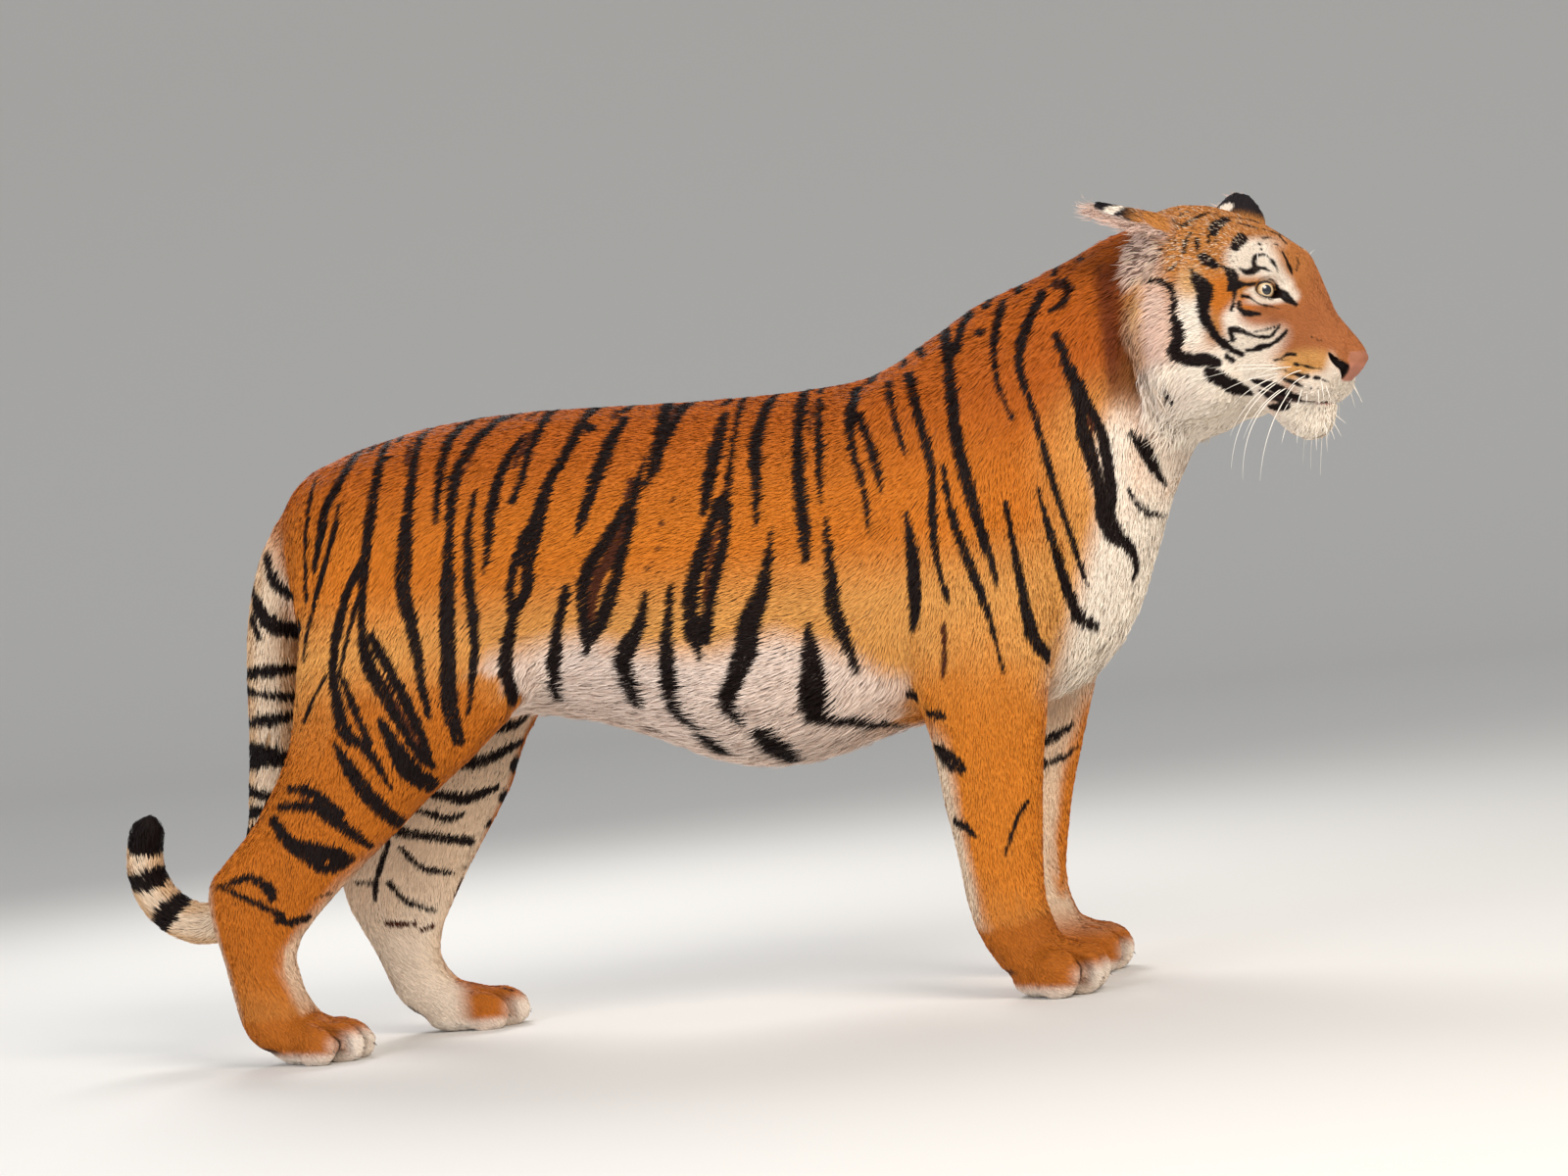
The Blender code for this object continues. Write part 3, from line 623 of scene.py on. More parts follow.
grooves = {}   # each skin point's place before the nostrils and mouth are pressed in, and its depth in them


def shapeFace(mesh):
    points = arrayOf(mesh, "vertices", "co", 3).astype(float)
    local = toHead(points)
    normals = meshNormals(mesh) @ np.array(headMatrix)[:3, :3]
    radius = eyes["radius"] * 1000
    u, w, d = inEye(local)
    gap = lidGap(u, w)
    near = (d > -6) & (np.hypot(u, w) < 46) & (np.abs(local[:, 1]) > 0.02)
    out = u**2 + w**2
    behind = np.sqrt(np.maximum((radius - eyes["hollow"] * 1000) ** 2 - out, 0))
    lid = np.sqrt(np.maximum((radius + eyes["lid"] * 1000) ** 2 - out, 0))
    onBall = 1 - ramp(np.sqrt(out), radius - 2, radius + 3)
    blend = eyes["blend"] * 1000
    wanted = d.copy()
    over = near & (gap > 0)
    pull = (1 - ramp(gap, 0.5, blend)) * onBall
    wanted[over] = (d + (lid - d) * pull)[over]
    inside = near & (gap <= 0)
    wanted[inside] = (d + (behind - d) * onBall)[inside]
    duct = near & (gap < 1.5)
    wanted[duct] -= (2.5 * (1 - onBall) * ramp(-gap, -1.5, 1))[duct]
    side = np.where(local[:, 1] < 0, -1, 1)
    look = np.array(eyes["look"]) / np.linalg.norm(eyes["look"])
    move = (wanted - d)[:, None] * look[None] * 0.001
    move[:, 1] *= -side
    local += np.where(near[:, None], move, 0)
    inside = pathDepth(local, nostrilPath)
    grooves.update(local=local.copy(), nostril=inside, mouth=pathDepth(local, mouthPath))
    hole = ramp(inside, -0.001, 0.004)
    rim = ramp(inside, -0.007, -0.0025) * (1 - ramp(inside, -0.0015, 0.001)) * ramp(local[:, 0], 0.306, 0.316)
    groove = np.exp(-(local[:, 1] / 0.0016) ** 2) * padShare(local) * (1 - ramp(local[:, 2], 0.885, 0.900))
    slit = ramp(grooves["mouth"], -0.003, 0.002)
    local += normals * (0.0012 * rim - 0.010 * hole - 0.0020 * groove - 0.0045 * slit)[:, None]
    points = fromHead(local)
    mesh.vertices.foreach_set("co", points.ravel())
    mesh.update()


shapeFace(skinMesh)


def tube(name, path, radii, sides, material):
    # a closed tube of a varying radius along a path
    path = np.array(path)
    run = unit(np.gradient(path, axis=0))
    aside = unit(np.cross(run, (0.3, 0.2, 0.93)))
    lift = np.cross(aside, run)
    turn = np.linspace(0, 2 * math.pi, sides, endpoint=False)
    ring = np.cos(turn)[None, :, None] * aside[:, None] + np.sin(turn)[None, :, None] * lift[:, None]
    points = (path[:, None] + ring * np.array(radii)[:, None, None]).reshape(-1, 3) - np.array(shift)
    faces = []
    for i in range(len(path) - 1):
        for j in range(sides):
            k = (j + 1) % sides
            faces.append((i * sides + j, i * sides + k, (i + 1) * sides + k, (i + 1) * sides + j))
    faces.append(tuple(range(sides))[::-1])
    faces.append(tuple(range((len(path) - 1) * sides, len(path) * sides)))
    mesh = bpy.data.meshes.new(name)
    mesh.from_pydata(points.tolist(), [], faces)
    shape = bmesh.new()
    shape.from_mesh(mesh)
    bmesh.ops.recalc_face_normals(shape, faces=shape.faces)
    shape.to_mesh(mesh)
    shape.free()
    mesh.shade_smooth()
    piece = addPiece(name, mesh, material)
    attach(piece, "root")
    return piece


def makeLids():
    # the bare rim of the eyelids: wet black skin
    material = newMaterial("wetLidSkin", {"Roughness": 0.32, "Base Color": solid("#120c0b")})[0]
    radius = eyes["radius"] * 1000 + 0.7
    for name, side in (("right", -1), ("left", 1)):
        u = np.concatenate([np.linspace(-18.5, 17.5, 40), np.linspace(17.5, -18.5, 40)])
        w = np.concatenate([np.interp(u[:40], *zip(*upperLid)), np.interp(u[40:], *zip(*lowerLid))])
        d = np.sqrt(np.maximum(radius**2 - u**2 - w**2, 0))
        keep = u**2 + w**2 < (radius + 2) ** 2
        for k, half in enumerate((slice(0, 40), slice(40, 80))):
            chosen = np.flatnonzero(keep[half]) + half.start
            path = fromEye(u[chosen], w[chosen], d[chosen], side)
            taper = np.sin(np.linspace(0.25, math.pi - 0.25, len(chosen))) ** 0.5
            piece = tube(f"lid_{('upper', 'lower')[k]}_{name}", path, eyes["rim"] * taper, 10, material)


def makeEye(name, side):
    rings, sides = 54, 96
    angle = np.radians(np.linspace(0, 125, rings + 1)[1:])
    turn = np.linspace(0, 2 * math.pi, sides, endpoint=False)
    dome = np.maximum(1 - (np.degrees(angle) / (eyes["iris"] + 3)) ** 2, 0)
    radius = eyes["radius"] * 1000 + eyes["cornea"] * 1000 * dome
    u = (np.sin(angle) * radius)[:, None] * np.cos(turn)[None]
    w = (np.sin(angle) * radius)[:, None] * np.sin(turn)[None]
    d = (np.cos(angle) * radius)[:, None] * np.ones(sides)[None]
    top = eyes["radius"] * 1000 + eyes["cornea"] * 1000
    places = fromEye(np.append(u.ravel(), 0), np.append(w.ravel(), 0), np.append(d.ravel(), top), side)
    degrees = np.degrees(angle)[:, None] * np.ones(sides)[None]
    streak = 0.5 + 0.5 * np.sin(turn * 31 + 3 * np.sin(turn * 7))[None] * np.ones(rings)[:, None]
    t = np.clip((degrees - eyes["pupil"]) / (eyes["iris"] - eyes["pupil"]), 0, 1)
    inner, outer = linearColour("#efd9b4"), linearColour("#c79a62")
    tint = inner * (1 - t[..., None]) + outer * t[..., None]
    tint = tint * (0.82 + 0.26 * streak[..., None])
    tint = np.where((degrees > eyes["iris"])[..., None], linearColour("#6b5140"), tint)
    rim = np.exp(-(((degrees - eyes["iris"]) / 2.2) ** 2))[..., None]
    tint = tint * (1 - 0.85 * rim)
    tint = np.where((degrees < eyes["pupil"])[..., None], linearColour("#0a1018"), tint)
    tint = np.vstack([tint.reshape(-1, 3), linearColour("#05060a")[None]])
    faces = []
    for j in range(sides):
        k = (j + 1) % sides
        faces.append((rings * sides, j, k))
        for i in range(rings - 1):
            faces.append((i * sides + j, (i + 1) * sides + j, (i + 1) * sides + k, i * sides + k))
    faces.append(tuple((rings - 1) * sides + j for j in range(sides)))
    mesh = bpy.data.meshes.new("eyeball_" + name)
    mesh.from_pydata((places - np.array(shift)).tolist(), [], faces)
    shape = bmesh.new()
    shape.from_mesh(mesh)
    bmesh.ops.recalc_face_normals(shape, faces=shape.faces)
    shape.to_mesh(mesh)
    shape.free()
    setTint(mesh, tint)
    mesh.shade_smooth()
    # glass eye: a painted glass dome under a clear coat, with streaks about 1 mm apart
    gloss = {"Roughness": 0.18, "Coat Weight": 1.0, "Coat Roughness": 0.02}
    material, tree, shader = newMaterial("glassEye_" + name, gloss)
    node = addNode(tree, "ShaderNodeAttribute", {"attribute_name": "tint"})
    tree.links.new(node.outputs["Color"], shader.inputs["Base Color"])
    piece = addPiece("eyeball_" + name, mesh, material)
    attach(piece, "root")
    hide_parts("eye_" + name)


# a whisker leaves the lip at this x and z in cm on the head: its way out, its curl, its length in cm
whiskerRows = [
    (23, 89.4, (-0.70, 0.70, 0.12), 0.06, 11.5), (23.5, 88.9, (-0.72, 0.66, 0.10), 0.12, 13),
    (23.3, 88.1, (-0.74, 0.66, 0.0), 0.15, 10.5),
    (22.9, 87.7, (-0.70, 0.62, -0.24), 0.18, 8.5), (23.1, 87.2, (-0.66, 0.58, -0.38), 0.30, 12),
    (22.7, 86.7, (-0.66, 0.54, -0.44), 0.45, 15),
    (23.9, 85.9, (-0.64, 0.60, -0.36), 0.50, 16), (24.2, 85.3, (-0.46, 0.52, -0.68), 0.42, 14),
    (23.1, 85.8, (-0.68, 0.56, -0.44), 0.30, 10),
    (25.2, 86.2, (-0.46, 0.62, -0.60), 0.22, 5), (26, 85.4, (-0.22, 0.42, -0.86), 0.15, 5),
    (23.9, 84.3, (-0.55, 0.45, -0.6), 0.2, 3.4),
    (26.5, 84.7, (-0.02, 0.32, -0.92), 0.1, 2), (24.9, 88.9, (-0.66, 0.74, 0.06), 0.15, 8),
    (26.3, 88.2, (-0.55, 0.8, -0.05), 0.2, 6),
    (26.8, 87.3, (-0.5, 0.8, -0.2), 0.25, 5), (28.8, 86.2, (0.22, 0.36, -0.88), 0.10, 3.6),
    (28.2, 85.2, (0.10, 0.36, -0.92), 0.10, 3),
    (29.2, 85.6, (0.34, 0.30, -0.86), 0.08, 3), (21.6, 105.0, (0.30, 0.45, 0.78), 0.15, 4),
    (22.6, 105.2, (0.42, 0.38, 0.78), 0.15, 4),
    (25.5, 79.8, (-0.05, 0.12, -1), 0.1, 3.6), (21.8, 80.8, (-0.35, 0.2, -0.92), 0.1, 3.4),
    (27.2, 80.4, (0.45, 0.14, -0.88), 0.1, 3.0),
    (27.8, 81.3, (0.76, 0.16, -0.62), 0.1, 2.6), (23.4, 80.2, (-0.1, 0.16, -1), 0.1, 2.8),
    (26.4, 80.0, (0.25, 0.12, -1), 0.1, 2.4),
]
whisker = {"thick": 0.00085, "points": 18, "sides": 6}


def whiskerPaths(skinBvh):
    points, edges = [], []
    for side in (-1, 1):
        for x, z, way, curl, length in whiskerRows:
            way = unit(np.array(way) * (1, side, 1) + random.uniform(-0.04, 0.04, 3))
            length = length * 0.01 * random.uniform(0.94, 1.06)
            root = toHead([castHead(skinBvh, x * 0.01, z * 0.01, side)])[0] - way * 0.003
            first = len(points)
            for k in range(whisker["points"]):
                t = k / (whisker["points"] - 1)
                bent = root + length * (way * (t - curl * t**2) + np.array((-0.1, 0, -1)) * 1.2 * curl * t**2)
                points.append(fromHead([bent])[0] - np.array(shift))
                if k:
                    edges.append((first + k - 1, first + k))
    return points, edges


def hornMaterial():
    # whiskers: smooth pale keratin, glossy and a little see-through
    settings = {"Roughness": 0.3, "Base Color": solid("#f4ecdf"), "IOR": 1.55}
    return newMaterial("paleKeratin", settings)[0]


def makeWhiskers(body):
    points, edges = whiskerPaths(body["bvh"])
    mesh = bpy.data.meshes.new("whiskers")
    mesh.from_pydata([tuple(p) for p in points], edges, [])
    material = hornMaterial()
    piece = addPiece("whiskers", mesh, material)
    tree = bpy.data.node_groups.new("whiskersFromPaths", "GeometryNodeTree")
    tree.interface.new_socket("Geometry", in_out="INPUT", socket_type="NodeSocketGeometry")
    thick = tree.interface.new_socket("Root radius", in_out="INPUT", socket_type="NodeSocketFloat")
    sides = tree.interface.new_socket("Sides", in_out="INPUT", socket_type="NodeSocketInt")
    tree.interface.new_socket("Geometry", in_out="OUTPUT", socket_type="NodeSocketGeometry")
    given = addNode(tree, "NodeGroupInput")
    curves = addNode(tree, "GeometryNodeMeshToCurve", links={"Mesh": given.outputs["Geometry"]})
    along = addNode(tree, "GeometryNodeSplineParameter")
    taper = addNode(tree, "ShaderNodeMapRange",
                    {"From Min": 0.25, "From Max": 1.0, "To Min": 1.0, "To Max": 0.15},
                    {"Value": along.outputs["Factor"]})
    ring = addNode(tree, "GeometryNodeCurvePrimitiveCircle",
                   links={"Resolution": given.outputs["Sides"], "Radius": given.outputs["Root radius"]})
    swept = addNode(tree, "GeometryNodeCurveToMesh", {"Fill Caps": True},
                    {"Curve": curves.outputs["Curve"], "Profile Curve": ring.outputs["Curve"],
                     "Scale": taper.outputs["Result"]})
    smooth = addNode(tree, "GeometryNodeSetShadeSmooth", links={"Geometry": swept.outputs["Mesh"]})
    real = addNode(tree, "GeometryNodeRealizeInstances", links={"Geometry": smooth.outputs["Geometry"]})
    dressed = addNode(tree, "GeometryNodeSetMaterial", {"Material": material},
                      {"Geometry": real.outputs["Geometry"]})
    addNode(tree, "NodeGroupOutput", links={"Geometry": dressed.outputs["Geometry"]})
    modifier = piece.modifiers.new("whiskers", "NODES")
    modifier.node_group = tree
    modifier[thick.identifier] = whisker["thick"]
    modifier[sides.identifier] = whisker["sides"]
    made = baked(piece)
    piece = bpy.data.objects.new("whiskers", made)
    scene.collection.objects.link(piece)
    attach(piece, "root")


claw = {"radius": 0.0034, "sides": 10, "steps": 8, "length": 0.020, "drop": 0.013, "out": -0.0025}


def makeClaws():
    # claws of grey-brown horn, drawn back between the fur of the toes so that only their ends show
    material = newMaterial("clawKeratin", {"Roughness": 0.35, "Base Color": solid("#6e5f54"), "IOR": 1.55})[0]
    names = ("fore_right", "fore_left", "hind_right", "hind_left")
    for name, (back, front, beside, width, turn) in zip(names, feet):
        length = front - back
        angle = math.radians(turn)
        for number, place in enumerate((-1.5, -0.5, 0.5, 1.5)):
            spread = angle + math.radians(7 * place)
            ahead = length * (0.76 - 0.17 * (abs(place) - 0.5) - 0.5)
            across = 0.262 * width * place
            middle = np.array((
                (back + front) / 2 + ahead * math.cos(angle) - across * math.sin(angle),
                beside + ahead * math.sin(angle) + across * math.cos(angle), 0.24 * width))
            way = np.array((math.cos(spread), math.sin(spread), 0))
            tip = middle + way * (0.25 * length + claw["out"])
            run = np.linspace(0, 1, claw["steps"])
            path = tip + way * (run - 1)[:, None] * claw["length"]
            path[:, 2] -= claw["drop"] * run**2
            radii = claw["radius"] * (1 - 0.94 * run**1.6)
            piece = tube(f"claw_{name}_{number + 1}", path, radii, claw["sides"], material)


print("coat: its lie, length and colours")
bodyLie = [  # place on the right side, and the way that the hair lies there
    ((0.25, 0.00, 0.94), (-1, 0, -0.1)), ((0.60, 0.00, 0.94), (-1, 0, 0)), ((0.95, 0.00, 0.95),
    (-1, 0, -0.05)),
    ((1.15, 0.00, 1.06), (-0.9, 0, -0.35)), ((1.30, 0.00, 1.12), (-0.9, 0, -0.3)),
    ((0.25, -0.15, 0.85), (-0.8, 0, -0.6)), ((0.45, -0.17, 0.80), (-0.93, 0, -0.4)),
    ((0.65, -0.18, 0.78), (-0.95, 0, -0.3)), ((0.85, -0.18, 0.78), (-0.93, 0, -0.35)),
    ((1.00, -0.17, 0.82), (-0.75, 0, -0.65)), ((0.40, -0.14, 0.62), (-0.85, 0, -0.5)),
    ((0.60, -0.15, 0.60), (-0.97, 0, -0.22)), ((0.80, -0.15, 0.60), (-0.97, 0, -0.15)),
    ((0.95, -0.12, 0.60), (-0.8, 0, -0.6)), ((0.50, 0.00, 0.57), (-1, 0, 0.1)), ((0.70, 0.00, 0.50),
    (-1, 0, 0.05)),
    ((0.90, 0.00, 0.48), (-1, 0, 0)), ((0.08, -0.06, 0.85), (-0.3, 0, -0.95)), ((0.15, -0.12, 0.75),
    (-0.45, 0, -0.9)),
    ((0.20, -0.15, 0.62), (-0.4, 0, -0.92)), ((0.32, -0.13, 0.60), (-0.5, 0, -0.85)),
    ((0.20, -0.14, 0.48), (-0.3, 0, -0.95)), ((0.15, -0.12, 0.38), (-0.5, 0, -0.85)),
    ((0.02, -0.12, 0.32), (-0.35, 0, -0.93)), ((-0.02, -0.12, 0.20), (0.05, 0, -1)),
    ((0.08, -0.12, 0.05), (0.85, 0, -0.5)), ((0.00, -0.12, 0.06), (0.5, 0, -0.85)),
    ((1.05, -0.17, 0.85), (-0.5, 0, -0.87)), ((1.15, -0.17, 0.75), (-0.35, 0, -0.93)),
    ((1.10, -0.16, 0.60), (-0.2, 0, -0.98)), ((1.00, -0.15, 0.55), (-0.3, 0, -0.95)),
    ((1.08, -0.13, 0.35), (-0.05, 0, -1)), ((1.02, -0.13, 0.30), (-0.2, 0, -0.98)), ((1.06, -0.13, 0.16),
    (0, 0, -1)),
    ((1.18, -0.13, 0.05), (0.9, 0, -0.45)), ((1.10, -0.13, 0.06), (0.5, 0, -0.85)),
    ((1.30, 0.00, 0.75), (-0.1, 0, -1)), ((1.33, -0.08, 0.85), (-0.25, -0.1, -0.95)), ((1.20, 0.00, 0.60),
    (-0.4, 0, -0.9)),
    ((1.25, -0.14, 1.00), (-0.6, -0.1, -0.75)), ((1.20, -0.16, 0.90), (-0.6, 0, -0.8)),
    ((1.32, -0.10, 0.95), (-0.45, -0.1, -0.88)), ((1.36, 0.00, 0.85), (-0.2, 0, -1)),
]
headLie = [  # the same on the head, in its own frame
    ((0.330, 0.000, 0.930), (-0.45, 0, 0.9)), ((0.300, 0.000, 0.980), (-0.3, 0, 0.95)),
    ((0.285, 0.000, 1.030), (-0.35, 0, 0.93)), ((0.240, 0.000, 1.080), (-0.75, 0, 0.65)),
    ((0.170, 0.000, 1.120), (-0.93, 0, 0.3)), ((0.100, 0.000, 1.150), (-1, 0, 0.05)),
    ((0.030, 0.000, 1.140), (-0.95, 0, -0.3)), ((0.300, -0.030, 0.930), (-0.75, -0.25, 0.6)),
    ((0.270, -0.045, 0.950), (-0.85, -0.3, 0.35)), ((0.220, -0.040, 1.050), (-0.6, -0.3, 0.75)),
    ((0.220, -0.065, 0.970), (-0.9, -0.35, -0.1)), ((0.170, -0.085, 0.980), (-0.95, -0.25, -0.15)),
    ((0.130, -0.100, 0.950), (-0.9, -0.3, -0.35)), ((0.290, -0.030, 0.880), (-0.85, -0.35, -0.2)),
    ((0.250, -0.055, 0.870), (-0.85, -0.35, -0.35)), ((0.150, -0.090, 0.880), (-0.75, -0.25, -0.65)),
    ((0.080, -0.120, 0.980), (-0.8, -0.35, -0.5)), ((0.060, -0.120, 0.900), (-0.6, -0.3, -0.8)),
    ((0.080, -0.090, 0.820), (-0.5, -0.15, -0.85)), ((0.150, 0.000, 0.800), (-0.9, 0, -0.4)),
    ((0.270, 0.000, 0.795), (-0.4, 0, -0.9)), ((0.285, 0.000, 0.825), (0.1, 0, -1)),
    ((0.060, -0.105, 1.095), (-0.97, -0.2, -0.1)), ((0.010, -0.100, 1.075), (-0.9, -0.2, -0.4)),
    ((0.140, -0.100, 1.040), (-0.95, -0.2, 0.1)), ((0.040, -0.110, 1.040), (-0.9, -0.2, -0.4)),
]
tailLine = np.array([
    (0.115, 0, 0.850), (0.064, 0, 0.824), (0.022, 0.001, 0.765), (-0.006, 0.003, 0.690),
    (-0.020, 0.006, 0.600),
    (-0.028, 0.010, 0.510), (-0.041, 0.016, 0.420), (-0.058, 0.024, 0.335), (-0.098, 0.034, 0.255),
    (-0.160, 0.042, 0.212), (-0.225, 0.046, 0.228), (-0.265, 0.048, 0.280), (-0.270, 0.048, 0.335),
    (-0.258, 0.048, 0.375)])


def alongTail(points):
    # how far down the tail each point lies, and the tail's direction there
    line = tailLine
    run = line[1:] - line[:-1]
    length = np.linalg.norm(run, axis=1)
    start = np.concatenate([[0], np.cumsum(length)])[:-1]
    away = points[:, None, :] - line[None, :-1]
    t = np.clip((away * run).sum(2) / length**2, 0, 1)
    gap = np.linalg.norm(away - t[..., None] * run, axis=2)
    best = gap.argmin(1)
    rows = np.arange(len(points))
    return start[best] + t[rows, best] * length[best], run[best] / length[best, None]


earFringe = {"right": (-0.85, -0.25, -0.40), "left": (-0.8, 0.3, -0.4)}  # the lie of the hair in the ears


def guides():
    places, ways = [], []
    for table, isHead in ((bodyLie, False), (headLie, True)):
        for place, way in table:
            for side in (1, -1):
                p = np.array(place, float) * (1, side, 1)
                w = np.array(way, float) * (1, side, 1)
                if isHead:
                    w = fromHead(p + w) - fromHead(p)
                    p = fromHead(p)
                places.append(p)
                ways.append(w)
    return np.array(places), unit(np.array(ways))


def lieOfCoat(points, normals, share):
    places, ways = guides()
    lie = np.zeros_like(points)
    for begin in range(0, len(points), 20000):
        part = slice(begin, begin + 20000)
        gap = ((points[part, None, :] - places[None]) ** 2).sum(2)
        weight = 1 / (gap + 0.0004) ** 2
        lie[part] = (weight @ ways) / weight.sum(1, keepdims=True)
    lie = unit(lie)
    tail = share[:, [partNames.index("tail")]]
    tailWay = alongTail(points)[1]
    lie = lie * (1 - tail) + tailWay * tail * 1.5
    ear = share[:, [partNames.index("ear")]]
    local = toHead(points)
    for name, (base, tip, faces) in ears.items():
        side = (local[:, [1]] < 0) == (name == "right")
        way = fromHead([tip])[0] - fromHead([base])[0]
        fringe = ear * side * ramp(openSide(points, normals), 0.1, 0.6)[:, None]
        hang = fromHead([tip + np.array(earFringe[name])])[0] - fromHead([tip])[0]
        lie = lie * (1 - ear * side) + unit(way) * (ear * side - fringe) * 2 + hang * fringe * 2
    lie -= normals * (lie * normals).sum(1, keepdims=True)
    return unit(lie)


lattice = random.random((32, 32, 32))


def cloud(points, size, seed=0.0):
    # smooth noise from -1 to 1, with patches of about this size in m
    place = points / size + seed * 7.31
    cell = np.floor(place).astype(int)
    blend = place - cell
    blend = blend * blend * (3 - 2 * blend)
    total = np.zeros(len(points))
    for corner in range(8):
        step = np.array([(corner >> k) & 1 for k in range(3)])
        weight = np.prod(np.where(step, blend, 1 - blend), axis=1)
        at = (cell + step) % 32
        total += weight * lattice[at[:, 0], at[:, 1], at[:, 2]]
    return total * 2 - 1


# Each stripe runs through its points: x and z in cm and half its width in mm, on the right side.
# The left side has the same ones, shifted where its legs stand, each a little different.
backStripes = [
    [(10, 89, 4), (8.8, 80, 4), (8.2, 70, 4)],
    [(16.5, 92.5, 8), (14.3, 87.5, 8), (12.3, 83.8, 8), (11.2, 79, 7), (10, 74.5, 4)],
    [(14.5, 84, 4), (13.3, 79, 5), (10.1, 70.6, 5), (8, 64.5, 4), (7.6, 61, 3)],
    [(21.3, 94, 7), (20.2, 85.6, 8), (18.6, 76.2, 8), (17.5, 68, 6), (17.8, 60, 8), (21, 53, 9),
     (23, 49.2, 8)],
    [(18, 75.5, 5), (15.1, 70.2, 7), (13.1, 63.5, 8), (12.6, 59.9, 8), (12.4, 55.3, 6), (12.7, 50.6, 5),
     (14, 48, 4)],
    [(18.7, 75, 3.5), (16, 66.8, 3.5), (14, 60.7, 3.5), (13.3, 58.2, 3)],
    [(13.9, 57.8, 6), (16.1, 50.8, 6), (17.3, 47.8, 6)],
    [(11.2, 58.2, 4), (9.2, 55.7, 4), (7, 52, 4)],
    [(26.9, 93.7, 6), (25.8, 84.6, 8), (24.3, 74.2, 11), (24, 69.8, 11), (25.5, 61.3, 8), (26.2, 53.8, 6),
     (26.5, 51, 4)],
    [(33.2, 94.7, 9), (31.2, 91, 8), (29.9, 82.4, 5), (29.7, 79.8, 3)],
    [(39.5, 95.5, 8), (35, 90.6, 9), (32.6, 85, 8), (31.4, 76.3, 7), (30.6, 69.3, 11), (30.3, 60.6, 11),
     (29.8, 52.7, 12),
     (30.3, 46.8, 9)],
    [(35.7, 83.8, 4), (34.4, 77, 7), (34, 69, 8), (34.2, 61.2, 7), (33, 53.8, 4), (32.3, 50.8, 3)],
    [(47, 95.5, 8), (44, 88, 6), (43, 85, 5), (41.5, 81.8, 6)],
    [(43.5, 92, 4), (40, 86.6, 8), (38, 79.8, 8), (37.3, 75.5, 6), (36.2, 71.6, 3)],
    [(54, 96, 8), (50, 88.2, 8), (47, 83.5, 9), (45, 78, 12), (43.6, 75.4, 16), (43, 72.8, 13)],
    [(41.6, 73.5, 7), (40, 68.5, 6), (40, 65.5, 7), (38.3, 58, 11), (38.5, 52, 10)],
    [(43.2, 71, 9), (42.6, 68.5, 10), (40.6, 65.3, 6)],
    [(48.8, 68, 7), (46.5, 61.3, 8), (44.9, 55.2, 12), (44.7, 52.5, 10)],
    [(58.8, 92.7, 8), (55.8, 86.8, 11), (53, 80, 9), (50.9, 75.3, 2)],
    [(62.2, 86.3, 3), (60, 80.2, 9), (56, 74.8, 9), (52, 69.5, 10), (51.2, 63, 10), (50.7, 57.8, 4)],
    [(60, 78, 8), (57.6, 71.3, 9), (55, 64.8, 10), (52, 60, 8)],
    [(65.3, 94.3, 9), (64.2, 87, 11), (62.3, 82, 4)],
    [(68.2, 94, 9), (65.7, 89, 6), (65, 87.5, 4)],
    [(74.4, 91.6, 7), (72.7, 85, 11), (71.4, 79.4, 8), (70.7, 76.8, 5)],
    [(77, 94, 6), (75.8, 87, 4), (74.6, 80.4, 6), (73.4, 77.8, 10), (70.8, 72.5, 10), (68.4, 66.3, 12),
     (67.7, 60, 14),
     (68.2, 55, 3)],
    [(74.5, 77.8, 7), (73, 71, 9), (70.9, 64.9, 9), (69.4, 58.4, 10)],
    [(81.3, 93, 8), (79.2, 86.6, 10), (79, 80, 7), (78.5, 74.4, 3)],
    [(86.3, 92.6, 9), (85.6, 85.6, 8), (85.5, 78.5, 9), (85.6, 71.8, 9), (85.3, 68, 4)],
    [(89, 92.4, 6), (88.6, 83.2, 6), (88.4, 76.5, 3)],
    [(95, 93.3, 10), (94, 89.7, 10), (93.6, 85.7, 6), (94.8, 78.4, 5), (95.3, 71, 2)],
    [(95.2, 89, 7), (96.8, 82.5, 6), (97.6, 77.2, 3)],
    [(99.8, 93.8, 6), (100.3, 88.8, 5), (101.7, 82.2, 3)],
    [(103, 94.4, 8), (104.2, 87, 7), (105.3, 79.8, 6), (104.7, 72.8, 6), (104.9, 66, 5), (106, 59.6, 3)],
    [(109, 102, 9), (109.2, 95, 9), (109.3, 87, 9), (109.8, 80.5, 9), (111.5, 71, 8), (113, 64.3, 5),
     (113.3, 61.3, 2)],
    [(112.8, 103.5, 8), (110.5, 98, 7), (109.6, 96.2, 5)],
    [(118.3, 104.3, 7), (116.3, 97.3, 6), (116.5, 91, 4), (118, 86, 2)],
    [(124.3, 104.7, 8), (121, 98.8, 8), (119.8, 93.3, 6), (121.3, 86.5, 5), (123.2, 75.3, 5),
     (125.5, 64.2, 4), (126.4, 60, 2)],
    [(128.2, 106.3, 5), (127.6, 103, 6), (125.3, 101.8, 4)],
]
